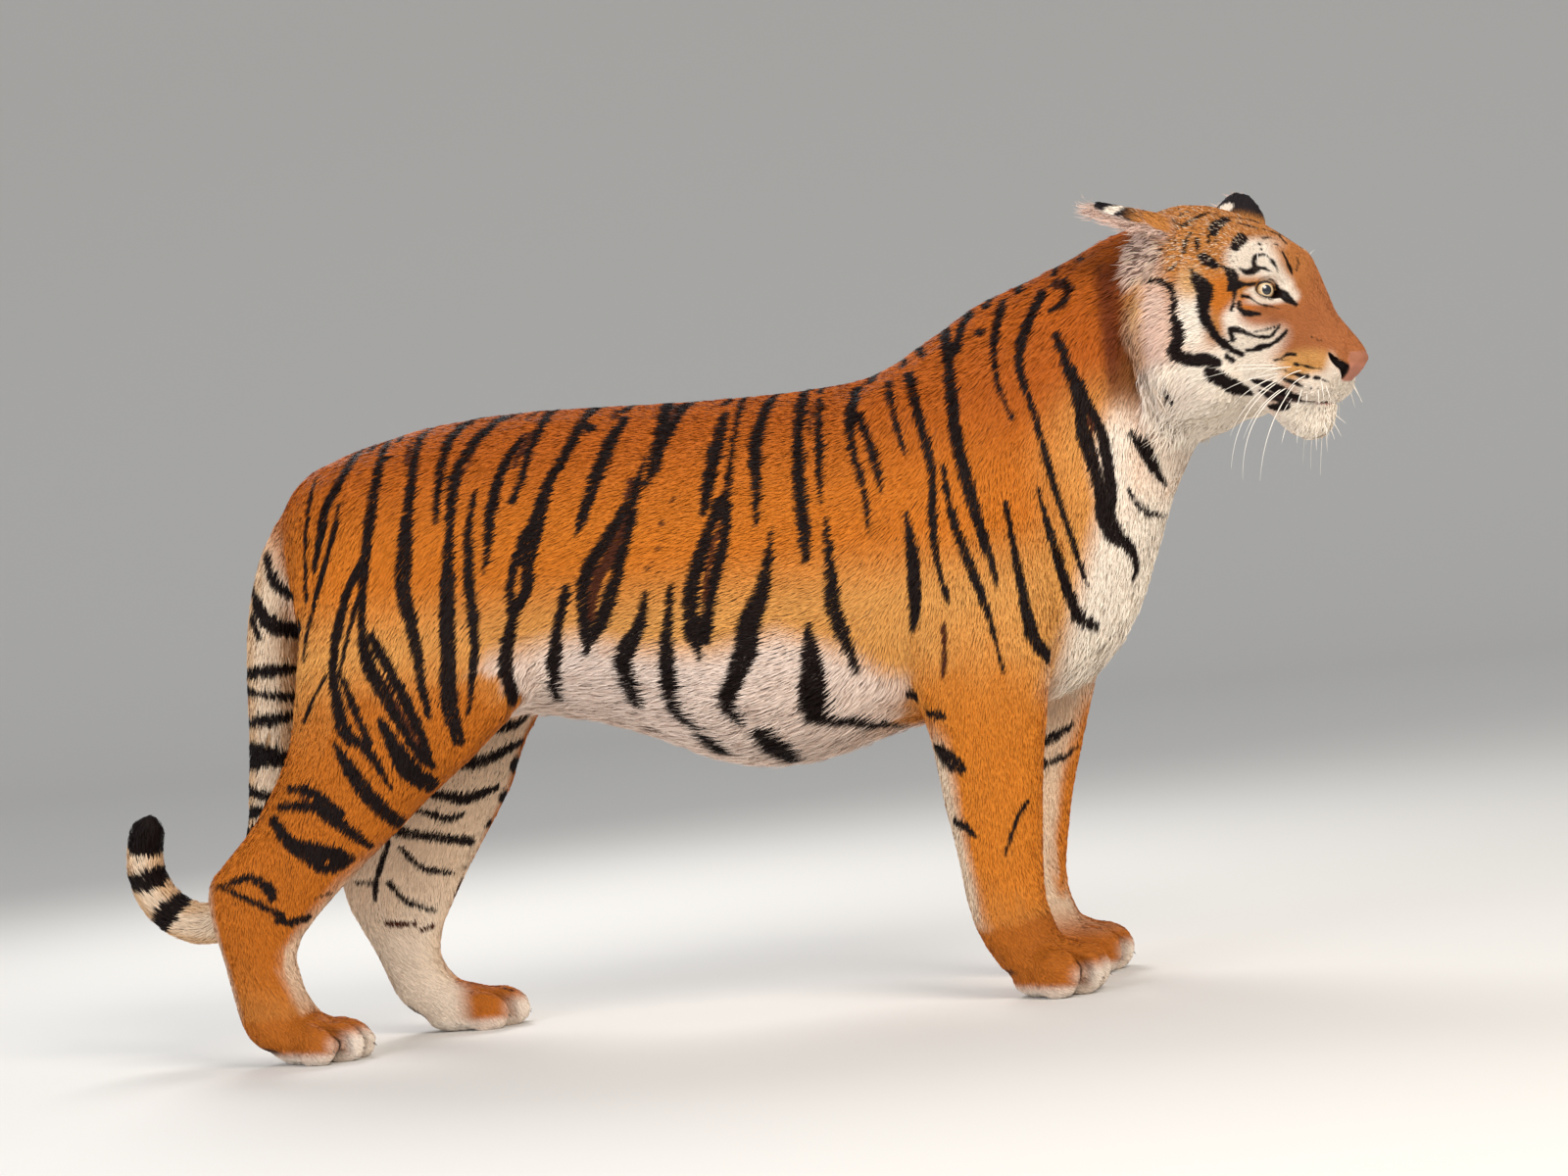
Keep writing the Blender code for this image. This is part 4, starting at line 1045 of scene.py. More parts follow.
shoulderStripes = [
    [(125.8, 97.8, 7), (126.9, 93.3, 8), (128.4, 88.4, 12), (128.5, 82.3, 11), (129.6, 75.5, 9),
     (130.6, 68.5, 14),
     (133.3, 65, 8), (133.8, 61.8, 5), (132.9, 60.2, 3)],
    [(129.3, 87.8, 6), (131, 81.8, 8), (131.4, 74.8, 8), (131, 71.8, 9)],
    [(134, 73.8, 3), (135, 71.6, 4), (136.6, 70, 4), (139.5, 69.6, 3)],
    [(135.5, 82, 5), (136.8, 79.8, 9), (138, 77, 8), (139.6, 74, 3)],
    [(100.8, 73.5, 3), (101.3, 66.9, 9), (101, 59.7, 9), (100.2, 56.3, 5)],
    [(107, 80, 4), (107.6, 72.8, 6), (109.7, 64.8, 7), (111.7, 57.2, 5), (113, 48.5, 2)],
    [(115.6, 73.8, 3), (116.2, 67.3, 5), (116.9, 60, 7), (117.7, 53.7, 11), (119.4, 50.3, 10)],
    [(120.7, 75.2, 3), (121.7, 68.5, 6), (122.9, 61.8, 9), (124.4, 56, 9), (126.8, 54, 6)],
]
bellyStripes = [
    [(61, 65.8, 4), (59.4, 60.9, 10), (56.3, 56.6, 14), (57, 51.6, 12), (58, 49.8, 6)],
    [(64.8, 66.3, 5), (63.6, 59.6, 9), (62.9, 53.2, 13), (63.2, 48.9, 9), (66, 45.7, 7)],
    [(80.8, 73.7, 2), (79.1, 66, 10), (76.1, 59.5, 16), (75.3, 56.2, 17), (72.3, 50.6, 12), (71.2, 49, 13),
     (73, 45.8, 8)],
    [(84.9, 58.7, 4), (84.5, 52, 16), (84.1, 46.3, 18), (86, 45, 8), (89.6, 44.3, 9), (96, 42.5, 6)],
    [(88.9, 74.2, 3), (89, 67.3, 7), (88.9, 60.5, 11), (90.3, 54.2, 8), (91.1, 51, 4)],
    [(67, 44.2, 12), (69, 42, 16)],
    [(75.6, 43.8, 15), (77.7, 41.3, 20), (79, 39.6, 14)],
    [(98.7, 46.8, 8), (98.9, 46.8, 8)],
    [(101.3, 43.6, 6), (101.5, 43.6, 6)],
]
hindStripes = [
    [(17.6, 63.3, 8), (18, 60.6, 8), (20.3, 55.5, 9), (22.6, 49.5, 8), (24.6, 45, 7), (25.6, 43.5, 5)],
    [(18.8, 63.8, 6), (21.6, 57.6, 9), (24.6, 49.5, 9), (26, 43.3, 5)],
    [(19.3, 51, 5), (21.4, 45.7, 13), (22.8, 43.3, 17), (25, 40.3, 12)],
    [(12.4, 57, 8), (13.8, 50.5, 7), (17.5, 45.5, 7), (19.4, 40.7, 3)],
    [(11.8, 48.2, 4), (14, 43.7, 11), (16.5, 39, 12), (19.2, 35.2, 10)],
    [(1.8, 39.4, 5), (7.6, 39, 10), (11.6, 35.3, 10), (14.5, 32.3, 6)],
    [(3.8, 42, 5), (7.2, 41.2, 8), (11.2, 37.8, 8)],
    [(0.4, 37.6, 7), (3.7, 33.3, 12), (9, 31.3, 15), (11.2, 30.4, 9)],
    [(3.7, 33.3, 10), (7.3, 29.7, 9), (10.4, 29.8, 7)],
    [(-9.7, 28, 3), (-7, 28.7, 4), (-3.8, 29, 5), (-1.3, 27.3, 9), (-0.9, 26, 8)],
    [(-9.2, 28.2, 3), (-5.2, 26.2, 4), (0, 23, 6)],
    [(-0.6, 22.3, 5), (1.3, 21.8, 7), (3.5, 22.2, 6)],
    [(5.3, 25.2, 2), (7.5, 25.6, 2)],
]
foreStripes = [
    [(99.4, 46.5, 9), (99.6, 46.5, 9)],
    [(101.8, 43.6, 6), (103.3, 43, 6)],
    [(101.9, 38.2, 8), (103.5, 36.7, 13), (105.2, 35, 8)],
    [(103.4, 27.2, 5), (104.8, 26.3, 6), (106.2, 25, 4)],
    [(103.6, 16.2, 4), (103.8, 16.2, 4)],
    [(114.4, 29.2, 3), (112.6, 26.8, 3), (110.5, 22, 3)],
]
innerStripes = [  # on the inner side of the left legs
    [(27, 47.5, 6), (30.7, 47.5, 9), (34, 48, 9), (36, 49.5, 8)],
    [(23.5, 43, 14), (28.6, 42.6, 10), (34, 44.8, 7)],
    [(19.8, 38, 7), (25, 36.8, 9), (29.6, 38, 6)],
    [(16.3, 36, 5), (21.5, 33.9, 6), (24.4, 34.3, 3)],
    [(11.7, 33, 8), (19, 31.2, 8), (24.6, 29.8, 8)],
    [(13.4, 30, 4), (16.6, 26.5, 5), (21, 25, 4)],
    [(11, 24.5, 5), (13.3, 21.5, 5), (17.6, 19.3, 4)],
    [(11.6, 30.8, 5), (9, 25, 5), (8.5, 22, 4)],
    [(5.7, 25, 4), (8.5, 24.7, 3)],
    [(116.7, 36.3, 7), (118.9, 37.4, 8), (121.5, 38.8, 4)],
    [(115.9, 32.8, 6), (119.9, 34, 5), (122, 35.3, 3)],
]
brownStripes = [  # rufous, between two black lines or as freckles
    [(25.3, 93, 4), (25.2, 89, 4)], [(35.5, 90, 3), (34.3, 87, 3)], [(44.5, 92, 5), (42, 87, 4)],
    [(57.5, 94, 6), (57, 93, 5)],
    [(60, 83, 5), (58, 75, 8), (54, 69, 8), (52, 63, 6)], [(67, 94, 5), (65.5, 91, 4)],
    [(73.4, 76, 3), (71, 69, 4), (69.3, 62, 3)],
    [(87.6, 91, 3), (87.4, 87, 2)], [(128.9, 86, 6), (129.8, 83, 4)],
    [(18.6, 60, 4), (22, 53, 4), (25, 46, 3)],
    [(5.4, 40.6, 3), (10.4, 37.2, 3)], [(10, 18, 4), (14.3, 17.6, 4)], [(15.3, 16.5, 4), (17, 16.8, 4)],
    [(64.5, 76.3, 3), (64.4, 76, 3)], [(63.6, 72.6, 3), (63.5, 72.3, 3)], [(61.8, 69.5, 3), (61.7, 69.2, 3)],
    [(66.3, 79.5, 3), (66.2, 79.2, 3)], [(105, 56.6, 4), (104.3, 49.3, 4)],
    [(126.5, 106, 9), (128.5, 105, 8)],
]
headMarks = [  # on the head, in cm and mm
    [(12.5, 104.8, 2.5), (13.5, 103.2, 9), (14.5, 101.7, 13.5), (14.5, 99.8, 11.5), (14.4, 98, 9),
     (15.2, 96, 8),
     (16.2, 94.2, 7), (17.4, 92.7, 6), (18.8, 91.5, 4)],
    [(14, 106.6, 7), (15, 105.9, 9), (16, 105, 6), (17, 104.8, 2)],
    [(16.8, 104.9, 2), (17.7, 104.2, 4), (18.3, 103.4, 8), (18.5, 102.4, 9)],
    [(18.4, 101.5, 8), (19, 101.7, 7.5), (19.7, 101.7, 5.5), (20.4, 101.6, 3.5), (21.2, 101.6, 2.4)],
    [(18.8, 101, 4.5), (18.8, 99.9, 2.6), (18.8, 98.8, 2.2), (18.6, 98, 2.2)],
    [(21.1, 101.6, 1.8), (21.9, 101.9, 1.8), (22.4, 102.1, 2), (23, 102, 2.2), (23.3, 101.3, 3),
     (23.4, 100.6, 4.8),
     (23.8, 100, 7), (24.5, 99.3, 7.5), (25.2, 98.6, 6), (25.8, 98.1, 3)],
    [(21.1, 101.4, 1.2), (21.4, 100.6, 1.3), (21.8, 99.8, 1.4), (22.2, 99.3, 1.6), (22.8, 99.1, 2),
     (23.5, 99.3, 3)],
    [(19.9, 99.9, 3), (20.7, 99.6, 2.4), (21.4, 99, 1.8), (22.2, 98.4, 1.8), (23, 98, 1.9), (24, 97.5, 1.3)],
    [(19.5, 99, 3.2), (19.8, 98.2, 4), (20.4, 97.4, 5), (21.3, 97.1, 4.8), (22.2, 97, 2.8)],
    [(19.4, 104.1, 1.5), (20, 103.6, 3.5), (20.6, 103.5, 5), (21.4, 103.8, 5), (22, 103.9, 3.2),
     (23.1, 103.3, 1.2)],
    [(21.2, 104.1, 4), (21.1, 105, 3), (21.5, 105.8, 2.8), (22.5, 105.8, 2.3), (23.2, 105.1, 2.3),
     (23.7, 104.3, 2),
     (24, 103.1, 1.3)],
    [(24.4, 105.9, 2), (24.9, 104.9, 2), (25.2, 103.6, 2.6), (25.3, 102.6, 1.9)],
    [(25.5, 105.1, 1.7), (25.8, 104.1, 2), (25.8, 103.2, 1.5)],
    [(18.9, 107.4, 7), (19.2, 108.1, 10), (19.4, 108.8, 9)],
    [(15.7, 110, 8), (15.6, 111, 11), (15.7, 112, 9.5)],
    [(10.4, 111.8, 3), (11.3, 112.5, 4.2), (12.1, 113, 4.5), (12.8, 113.5, 4)],
    [(9.7, 112.1, 2), (10.6, 111.6, 2.6), (11.8, 111.6, 2.2)],
    [(9.5, 112.4, 2.2), (9.2, 113.4, 2.6), (9.8, 114.1, 2.5)],
    [(14.7, 112.5, 2.6), (16, 112.4, 3), (17.4, 112, 3), (18.8, 111.3, 2)],
    [(17.4, 111.2, 2), (18.6, 110.8, 2.6), (19.8, 110.3, 2)],
    [(20.4, 110.1, 2.4), (22, 109.1, 3), (23.8, 107.4, 2)],
    [(21.5, 107.5, 4)], [(23.3, 107.2, 3.2)], [(21.9, 106.7, 2)], [(21.3, 108.5, 2), (21.9, 108.6, 2)],
    [(12.2, 110.3, 2.4), (11.6, 109.5, 3.4), (11.4, 108.6, 3.7), (11.5, 107.6, 2.7)],
    [(13.3, 109.3, 2.5), (13.4, 108.5, 3.4), (13.5, 107.8, 2.4)], [(15.1, 109.5, 3.3), (15.2, 108.6, 3)],
    [(10.9, 106.4, 1.8), (9.9, 105.7, 2.4), (8.9, 105.2, 1.6)],
    [(5.9, 110.3, 2.8)], [(6.1, 109, 3.4)], [(7.7, 108.5, 3)], [(6.8, 107.6, 3)], [(6.2, 107, 2.6)],
    [(8.4, 110.8, 2.6)], [(7.5, 109.4, 2.3)], [(9, 109.7, 2)], [(4.6, 105, 2.4)], [(5.5, 106.7, 2.4)],
    [(9.2, 110.3, 1.8)], [(16.1, 109, 1.6), (16.2, 108.5, 1.5)],
    [(5.9, 103.9, 4), (7.8, 103.6, 5), (9.1, 102.8, 7), (9.8, 101.4, 6.5), (9.6, 99.8, 5), (9.5, 98.2, 5),
     (10.1, 96.4, 10), (10.1, 94.5, 10.5), (9.3, 93, 9), (10.9, 91.9, 9.5), (12.4, 91.3, 9), (14, 91.3, 10),
     (15.5, 90.6, 8.5)],
    [(14.6, 89.2, 11), (15.9, 88, 11), (17.1, 86.6, 11), (18, 86, 7)],
    [(18.3, 95.3, 3.5), (19.3, 95, 5), (20.4, 94.4, 3.8), (21.4, 93.9, 2.6), (22.4, 93.6, 3),
     (23.1, 93.7, 3.4),
     (23.9, 95, 2)],
    [(21.4, 94.5, 2.6), (22.4, 94.6, 2.8), (23.2, 94.8, 2.2), (24, 95.2, 1.5)],
    [(19.7, 92, 3), (20.7, 92, 4), (21.6, 92.2, 5), (22.6, 92.4, 4), (23.8, 93.2, 3.5), (24.7, 94.3, 2)],
    [(18.2, 95.2, 3), (18.3, 93.7, 3)], [(16.8, 91.5, 4), (17.5, 90.8, 3.8)],
    [(23, 90.1, 1.2), (23.8, 90.3, 1.8), (24.4, 90.7, 2.8), (25.4, 90.7, 2)],
    [(23.9, 90, 1.3), (24.7, 89.9, 1.6)],
    [(25.5, 89.2, 2.2), (25.8, 89.1, 2.1)],
    [(26.3, 89, 1.6), (27.2, 88.6, 2.6), (28, 88.3, 2), (28.8, 88.1, 1.4)],
    [(23, 89, 1), (24.2, 88.5, 1.6), (25.3, 87.8, 2.5), (26.3, 87.4, 3.3), (27.2, 87.2, 3)],
    [(28.1, 86.9, 2.8), (28.6, 86.8, 2.6)], [(29, 86.5, 2.1), (29.5, 86.1, 1.6)],
    [(24, 87.3, 2.5), (25, 86.7, 3), (26.2, 85.9, 2.1)], [(27.3, 85.4, 2.2)], [(28.2, 85.3, 1.8)],
    [(28.9, 85.1, 1.5)],
    [(28.2, 92.5, 1.2)], [(28.7, 92.4, 1.2)], [(27.5, 93, 1)],
    # the next three darken the corner of the mouth: in part black lip skin, in part painted shadow under the
    # whiskers
    [(19.5, 87.6, 3), (20.7, 87, 6), (22, 86.4, 8), (23, 85.6, 9.2), (24, 84.9, 8.5), (25.1, 84.2, 5)],
    [(20.6, 83.6, 4), (21.8, 83.4, 7), (23, 83.4, 7)], [(20.1, 86, 4), (21.3, 85.2, 7), (22.6, 84.4, 8)],
    [(25.2, 82.6, 1.4)], [(26, 82.7, 1.2)], [(26.6, 82.3, 1.2)], [(27.1, 82.1, 1.2)],
    [(7, 87.9, 4), (7.5, 86, 4)],
]
tailRings = [  # distance down the tail and half width, in mm
    (300, 9), (335, 8), (375, 9), (440, 19), (498, 10), (527, 9), (565, 10), (610, 10), (655, 11), (700, 12),
    (815, 15), (885, 15), (985, 38)]
tailSlants = [
    [(0, 78, 8), (1, 73.5, 9), (3.5, 71.7, 9), (5.5, 71, 8)],
    [(-3, 72.5, 8), (-2, 69.7, 12), (0, 67, 15), (4.5, 66, 13)],
    [(-3.5, 68.7, 7), (-2.5, 65.3, 5)],
]
hindShift = ((0, 0.19), (0.1, 0.17), (0.2, 0.16), (0.3, 0.14), (0.4, 0.09), (0.5, 0.02), (0.6, 0.0))
foreShift = ((0, 0.045), (0.55, 0.045), (0.8, 0.0))


def castSide(skinBvh, x, z, side, start=None):
    # the place on the skin at this x and z, seen from the side; the nearest one where there is none
    origin = Vector((x, side * 1.5 if start is None else start, z))
    way = Vector((0, -side if start is None else side, 0))
    hit = skinBvh.ray_cast(origin, way)[0]
    if hit is None:
        hit = skinBvh.find_nearest(Vector((x, side * 0.12, z)))[0]
    return hit


stripeMarks = {"places": [], "half": [], "tone": []}


def addMark(place, half, tone):
    stripeMarks["places"].append(place)
    stripeMarks["half"].append(half)
    stripeMarks["tone"].append(tone)


def overTheBack(skinBvh, line, side):
    # carries a stripe on from the top of the flank to the spine
    first, slope = line[0], line[0] - line[min(3, len(line) - 1)]
    lean = slope[0] / max(abs(slope[1]), 0.3) * 0.5
    for k in range(1, 16):
        t = k / 15
        x = (first[0] + lean * 6 * t) * 0.01
        y = side * 0.085 * (1 - t)
        hit = skinBvh.find_nearest(Vector((x, y, first[1] * 0.01 + 0.08)))[0]
        addMark(hit, first[2] * 0.001 * (1 - 0.25 * t), 0)


def layTable(skinBvh, table, tone, both=True, kind="body"):
    for stripe in table:
        line = curveThrough(stripe, 0.3)
        for side in (-1, 1) if both else (-1,):
            wobble = random.uniform(-1, 1, 4)
            bend = random.uniform(0, 6.28)
            for x, z, half in line:
                if side > 0 and kind != "head":
                    z = z + 0.7 * math.sin(z / 9 + bend)
                    x = x + wobble[0] * 0.8 + 0.6 * math.sin(z / 7 + bend)
                if kind == "head":
                    hit = castHead(skinBvh, x * 0.01, z * 0.01, side)
                else:
                    x = x * 0.01
                    if side > 0:
                        shifts = hindShift if x < 0.45 else foreShift if x > 0.9 else ((0, 0), (1, 0))
                        x += np.interp(z * 0.01, *zip(*shifts))
                    hit = castSide(skinBvh, x, z * 0.01, side)
                addMark(hit, half * (0.001 if kind == "head" else 0.00112), tone)
            if kind == "back" and stripe[0][1] > 90:
                overTheBack(skinBvh, line, side)


def layTail(skinBvh):
    line = tailLine
    length = np.concatenate([[0], np.cumsum(np.linalg.norm(line[1:] - line[:-1], axis=1))])
    for centre, half in tailRings:
        for lean in np.linspace(0, 2 * math.pi, 24, endpoint=False):
            s = centre * 0.001 + 0.006 * math.sin(lean + centre)
            place = np.array([np.interp(s, length, line[:, k]) for k in range(3)])
            after = np.array([np.interp(s + 0.01, length, line[:, k]) for k in range(3)])
            way = unit(after - place) if s < length[-1] - 0.012 else unit(line[-1] - line[-2])
            side = unit(np.cross(way, (0, 1, 0)))
            spoke = side * math.cos(lean) + np.array((0, 1, 0)) * math.sin(lean)
            hit = skinBvh.find_nearest(Vector(place + spoke * 0.05))[0]
            addMark(hit, half * 0.001 * (1 + 0.2 * math.sin(2 * lean + centre)), 0)


def layStripes(body):
    skinBvh = body["bvh"]
    layTable(skinBvh, backStripes, 0, kind="back")
    for table in (shoulderStripes, bellyStripes, hindStripes, foreStripes):
        layTable(skinBvh, table, 0)
    layTable(skinBvh, brownStripes, 1)
    layTable(skinBvh, headMarks, 0, kind="head")
    for stripe in innerStripes:
        for x, z, half in curveThrough(stripe, 0.3):
            x = x * 0.01
            addMark(castSide(skinBvh, x, z * 0.01, 1, start=0.0), half * 0.001, 0)
            shifts = hindShift if x < 0.45 else foreShift
            x -= np.interp(z * 0.01, *zip(*shifts))
            addMark(castSide(skinBvh, x, z * 0.01, -1, start=0.0), half * 0.001, 0)
    for stripe in tailSlants:
        for x, z, half in curveThrough(stripe, 0.3):
            for side in (-1, 1):
                addMark(castSide(skinBvh, x * 0.01, z * 0.01, side), half * 0.001, 0)
    layTail(skinBvh)
    tree = KDTree(len(stripeMarks["places"]))
    for k, place in enumerate(stripeMarks["places"]):
        tree.insert(place, k)
    tree.balance()
    stripeMarks["tree"] = tree
    stripeMarks["half"] = np.array(stripeMarks["half"])
    stripeMarks["tone"] = np.array(stripeMarks["tone"])
    print("   ", len(stripeMarks["places"]), "stripe samples")


stripeEdge = {"ragged": 0.0016, "soft": 0.0016, "near": 4}


def markedColours(points, normals, share):
    colours = groundColour(points, normals, share)
    near = stripeEdge["near"]
    found = [stripeMarks["tree"].find_n(p, near) for p in points.tolist()]
    which = np.array([[hit[1] for hit in row] for row in found])
    gap = np.array([[hit[2] for hit in row] for row in found])
    ragged = stripeEdge["ragged"] * (cloud(points, 0.009, 6) + 0.5 * cloud(points, 0.003, 8))
    inside = stripeMarks["half"][which] - gap + ragged[:, None]
    for tone, name in ((1, "brown"), (0, "black")):
        depth = np.where(stripeMarks["tone"][which] == tone, inside, -1).max(1)
        colours = blendTo(colours, name, ramp(depth, -stripeEdge["soft"], stripeEdge["soft"]))
    return colours

hair = {name: linearColour(code) for name, code in {
    "back": "#b35a16", "flank": "#cb731e", "low": "#d99a50", "thigh": "#bf6a1a", "foreleg": "#d27c24",
    "paw": "#bd6a1e", "white": "#f5e7d6", "cream": "#e8cfb2", "belly": "#ead5c6", "crown": "#c88442",
    "bridge": "#b87040", "black": "#150907", "brown": "#4a2210", "shade": "#5a2410", "pale": "#dba45e",
    "grey": "#c4a090", "ruff": "#e0c4b4", "noseTop": "#9a6248", "lips": "#b3776a", "earBack": "#221b1e",
    "pink": "#b2745d", "lip": "#3a2420", "tailPale": "#cf9a5c",
}.items()}
facePatches = [  # on the head in cm: x, z, half width, half height, softness, colour, strength
    (20, 97, 16, 20, 1.0, "bridge", 1.0),
    (10, 104, 16, 13, 3.0, "crown", 0.9),
    (3, 77, 9, 8, 1.5, "white", 0.9),
    (13, 102, 3.4, 4.0, 2.0, "foreleg", 0.6),
    (2.4, 107.8, 5.0, 5.0, 1.6, "ruff", 0.9),
    (12.2, 97.5, 2.6, 6.0, 1.4, "white", 1.0),
    (12.4, 103, 1.8, 2.4, 1.2, "pale", 0.8),
    (6.6, 96, 2.9, 8.5, 1.5, "ruff", 0.9),
    (3.6, 95.5, 1.6, 7.0, 1.0, "pale", 0.9),
    (2.5, 90, 5.0, 9.0, 2.0, "grey", 0.55),
    (10.5, 85.5, 11.0, 6.3, 1.5, "white", 0.92),
    (17.0, 89.5, 6.5, 4.0, 1.5, "white", 0.95),
    (18.8, 97.0, 1.5, 2.4, 0.8, "white", 0.95),
    (20.8, 93.8, 3.6, 3.0, 1.2, "white", 0.95),
    (17.0, 100.6, 1.9, 2.8, 0.8, "flank", 0.9),
    (22.6, 97.0, 2.7, 1.9, 0.9, "bridge", 0.9),
    (20.6, 105.6, 3.0, 2.9, 1.0, "white", 1.0),
    (22.9, 104.0, 1.5, 2.0, 0.8, "white", 1.0),
    (24.1, 101.9, 0.8, 1.8, 0.5, "white", 0.95),
    (24.9, 100.5, 0.7, 1.5, 0.5, "white", 0.95),
    (25.6, 99.3, 0.6, 1.0, 0.4, "white", 0.85),
    (20.9, 100.3, 0.9, 0.8, 0.4, "white", 0.9),
    (20.6, 99.0, 1.5, 1.3, 0.5, "flank", 0.85),
    (23.0, 99.1, 2.4, 0.75, 0.4, "white", 0.95),
    (21.3, 100.3, 0.6, 0.9, 0.3, "white", 0.9),
    (26.4, 88.9, 3.8, 2.4, 1.0, "pale", 0.85),
    (28.9, 85.6, 4.4, 2.0, 0.9, "white", 0.95),
    (21.8, 87.6, 2.2, 2.4, 1.2, "white", 0.85),
    (29.9, 87.0, 0.8, 2.6, 0.6, "white", 0.95),
    (26.5, 81.3, 6.0, 3.6, 1.2, "white", 1.0),
]
groinEdge = ((0.10, 0.30), (0.30, 0.52), (0.36, 0.585), (0.45, 0.600), (0.50, 0.605), (0.60, 0.570),
             (0.70, 0.560), (0.80, 0.578), (0.90, 0.538), (0.95, 0.500), (1.05, 0.465), (1.30, 0.45))
chestEdge = ((0.45, 1.18), (0.55, 1.225), (0.62, 1.255), (0.72, 1.295), (0.80, 1.290), (0.90, 1.335),
             (1.0, 1.39))


def blendTo(colours, name, amount):
    amount = np.clip(amount, 0, 1)[:, None]
    return colours * (1 - amount) + hair[name] * amount


def shareOf(share, *names):
    return sum(share[:, partNames.index(n)] for n in names)


def groundColour(points, normals, share):
    x, y, z = points.T
    colours = np.tile(hair["flank"], (len(points), 1))
    colours = blendTo(colours, "back", ramp(z, 0.74, 0.92))
    colours = blendTo(colours, "low", 1 - ramp(z, 0.60, 0.72))
    colours = blendTo(colours, "thigh", shareOf(share, "thigh", "shank", "metatarsus"))
    colours = blendTo(colours, "foreleg", shareOf(share, "foreleg"))
    colours = blendTo(colours, "paw", shareOf(share, "paw"))
    legs = shareOf(share, "thigh", "shank", "metatarsus", "foreleg", "paw")
    inward = normals[:, 1] * -np.sign(y)
    groin = np.interp(x, *zip(*groinEdge))
    belly = 1 - ramp(z, groin - 0.03, groin + 0.03)
    belly *= 1 - ramp(legs, 0.2, 0.6)
    colours = blendTo(colours, "belly", belly * shareOf(share, "trunk", "thigh"))
    edge = np.interp(z, *zip(*chestEdge))
    chest = ramp(x, edge - 0.02, edge + 0.03)
    fade = ramp(x, edge - 0.13, edge - 0.01) * (1 - ramp(z, 0.84, 0.95)) * shareOf(share, "trunk", "neck")
    colours = blendTo(colours, "low", fade * 0.8)
    colours = blendTo(colours, "white", chest * ramp(-z, -0.91, -0.82) * shareOf(share, "trunk", "neck"))
    throat = ramp(normals[:, 0], 0.25, 0.6) * shareOf(share, "neck", "trunk")
    throat = throat * ramp(x, 1.25, 1.32) * (1 - ramp(z, 0.98, 1.05))
    colours = blendTo(colours, "white", throat * 0.9)
    colours = blendTo(colours, "pale", chest * ramp(z, 0.84, 0.92) * shareOf(share, "trunk", "neck") * 0.45)
    inner = ramp(inward, 0.05, 0.5) * legs
    inner *= 1 - ramp(normals[:, 0], 0.35, 0.75) * shareOf(share, "foreleg") * (x > 0.7)
    toeward = sum(ramp(inFoot(points, foot)[0], 0.30, 0.55) * inFoot(points, foot)[2] for foot in feet)
    colours = blendTo(colours, "cream", inner * 0.9 * np.where(x > 0.7, ramp(z, 0.05, 0.12), 1 - toeward))
    shin = shareOf(share, "metatarsus", "paw") * inner * (x < 0.7) * (1 - toeward)
    colours = blendTo(colours, "white", shin * 0.6)
    sole = shareOf(share, "paw") * ramp(-normals[:, 2], 0.5, 0.8)
    colours = blendTo(colours, "earBack", sole * 0.8)
    backOfFore = shareOf(share, "foreleg") * ramp(-normals[:, 0], 0.35, 0.8) * (1 - ramp(z, 0.36, 0.44))
    colours = blendTo(colours, "cream", backOfFore)
    for foot in feet:
        along, near, inside = inFoot(points, foot)
        paw = inside * shareOf(share, "paw")
        tips = ramp(along, 0.70, 0.92) * (1 - ramp(z, 0.030, 0.055))
        tips = np.maximum(tips, 0.9 * (1 - ramp(z, 0.010, 0.026)))
        colours = blendTo(colours, "white", tips * paw * 0.9)
        colours = blendTo(colours, "brown", ramp(z, 0.045, 0.075) * ramp(along, 0.3, 0.55) * paw * 0.16)
        # painted shade: black down the grooves between the toes, standing in for the shadow there
        gap = np.exp(-(near / 0.0052) ** 2) * ramp(along, 0.56, 0.72) * (1 - ramp(z, 0.046, 0.066)) * paw
        colours = blendTo(colours, "black", gap)
    front = shareOf(share, "shank", "metatarsus") * ramp(normals[:, 0], 0.3, 0.8) * (1 - ramp(z, 0.26, 0.34))
    colours = blendTo(colours, "cream", front * 0.8)
    heel = shareOf(share, "metatarsus", "shank") * ramp(-normals[:, 0], 0.5, 0.9) * (1 - ramp(z, 0.26, 0.30))
    colours = blendTo(colours, "cream", heel * 0.6)
    tail = shareOf(share, "tail")
    distance, way = alongTail(points)
    upper = unit(np.cross(way, np.array((0, 1.0, 0))))
    dorsal = (normals * upper).sum(1)
    colours = blendTo(colours, "cream", tail * ramp(distance, 0.04, 0.16))
    pale = tail * ramp(distance, 0.05, 0.2) * ramp(np.abs(dorsal), 0.2, 0.8) * 0.55
    colours = blendTo(colours, "tailPale", pale)
    colours = headColours(colours, points, normals, share)
    # painted shadow: a dark red-brown band where the ruff's shadow falls on the near side of the neck
    ruffShadow = ramp(x, 1.315, 1.335) * (1 - ramp(x, 1.365, 1.385))
    ruffShadow = ruffShadow * ramp(z, 0.84, 0.90) * (1 - ramp(z, 1.06, 1.10))
    colours = blendTo(colours, "shade", ruffShadow * ramp(-y, 0.02, 0.08) * shareOf(share, "neck") * 0.85)
    return colours


earSpots = {"right": (0.018, 1.152), "left": (0.093, 1.156)}


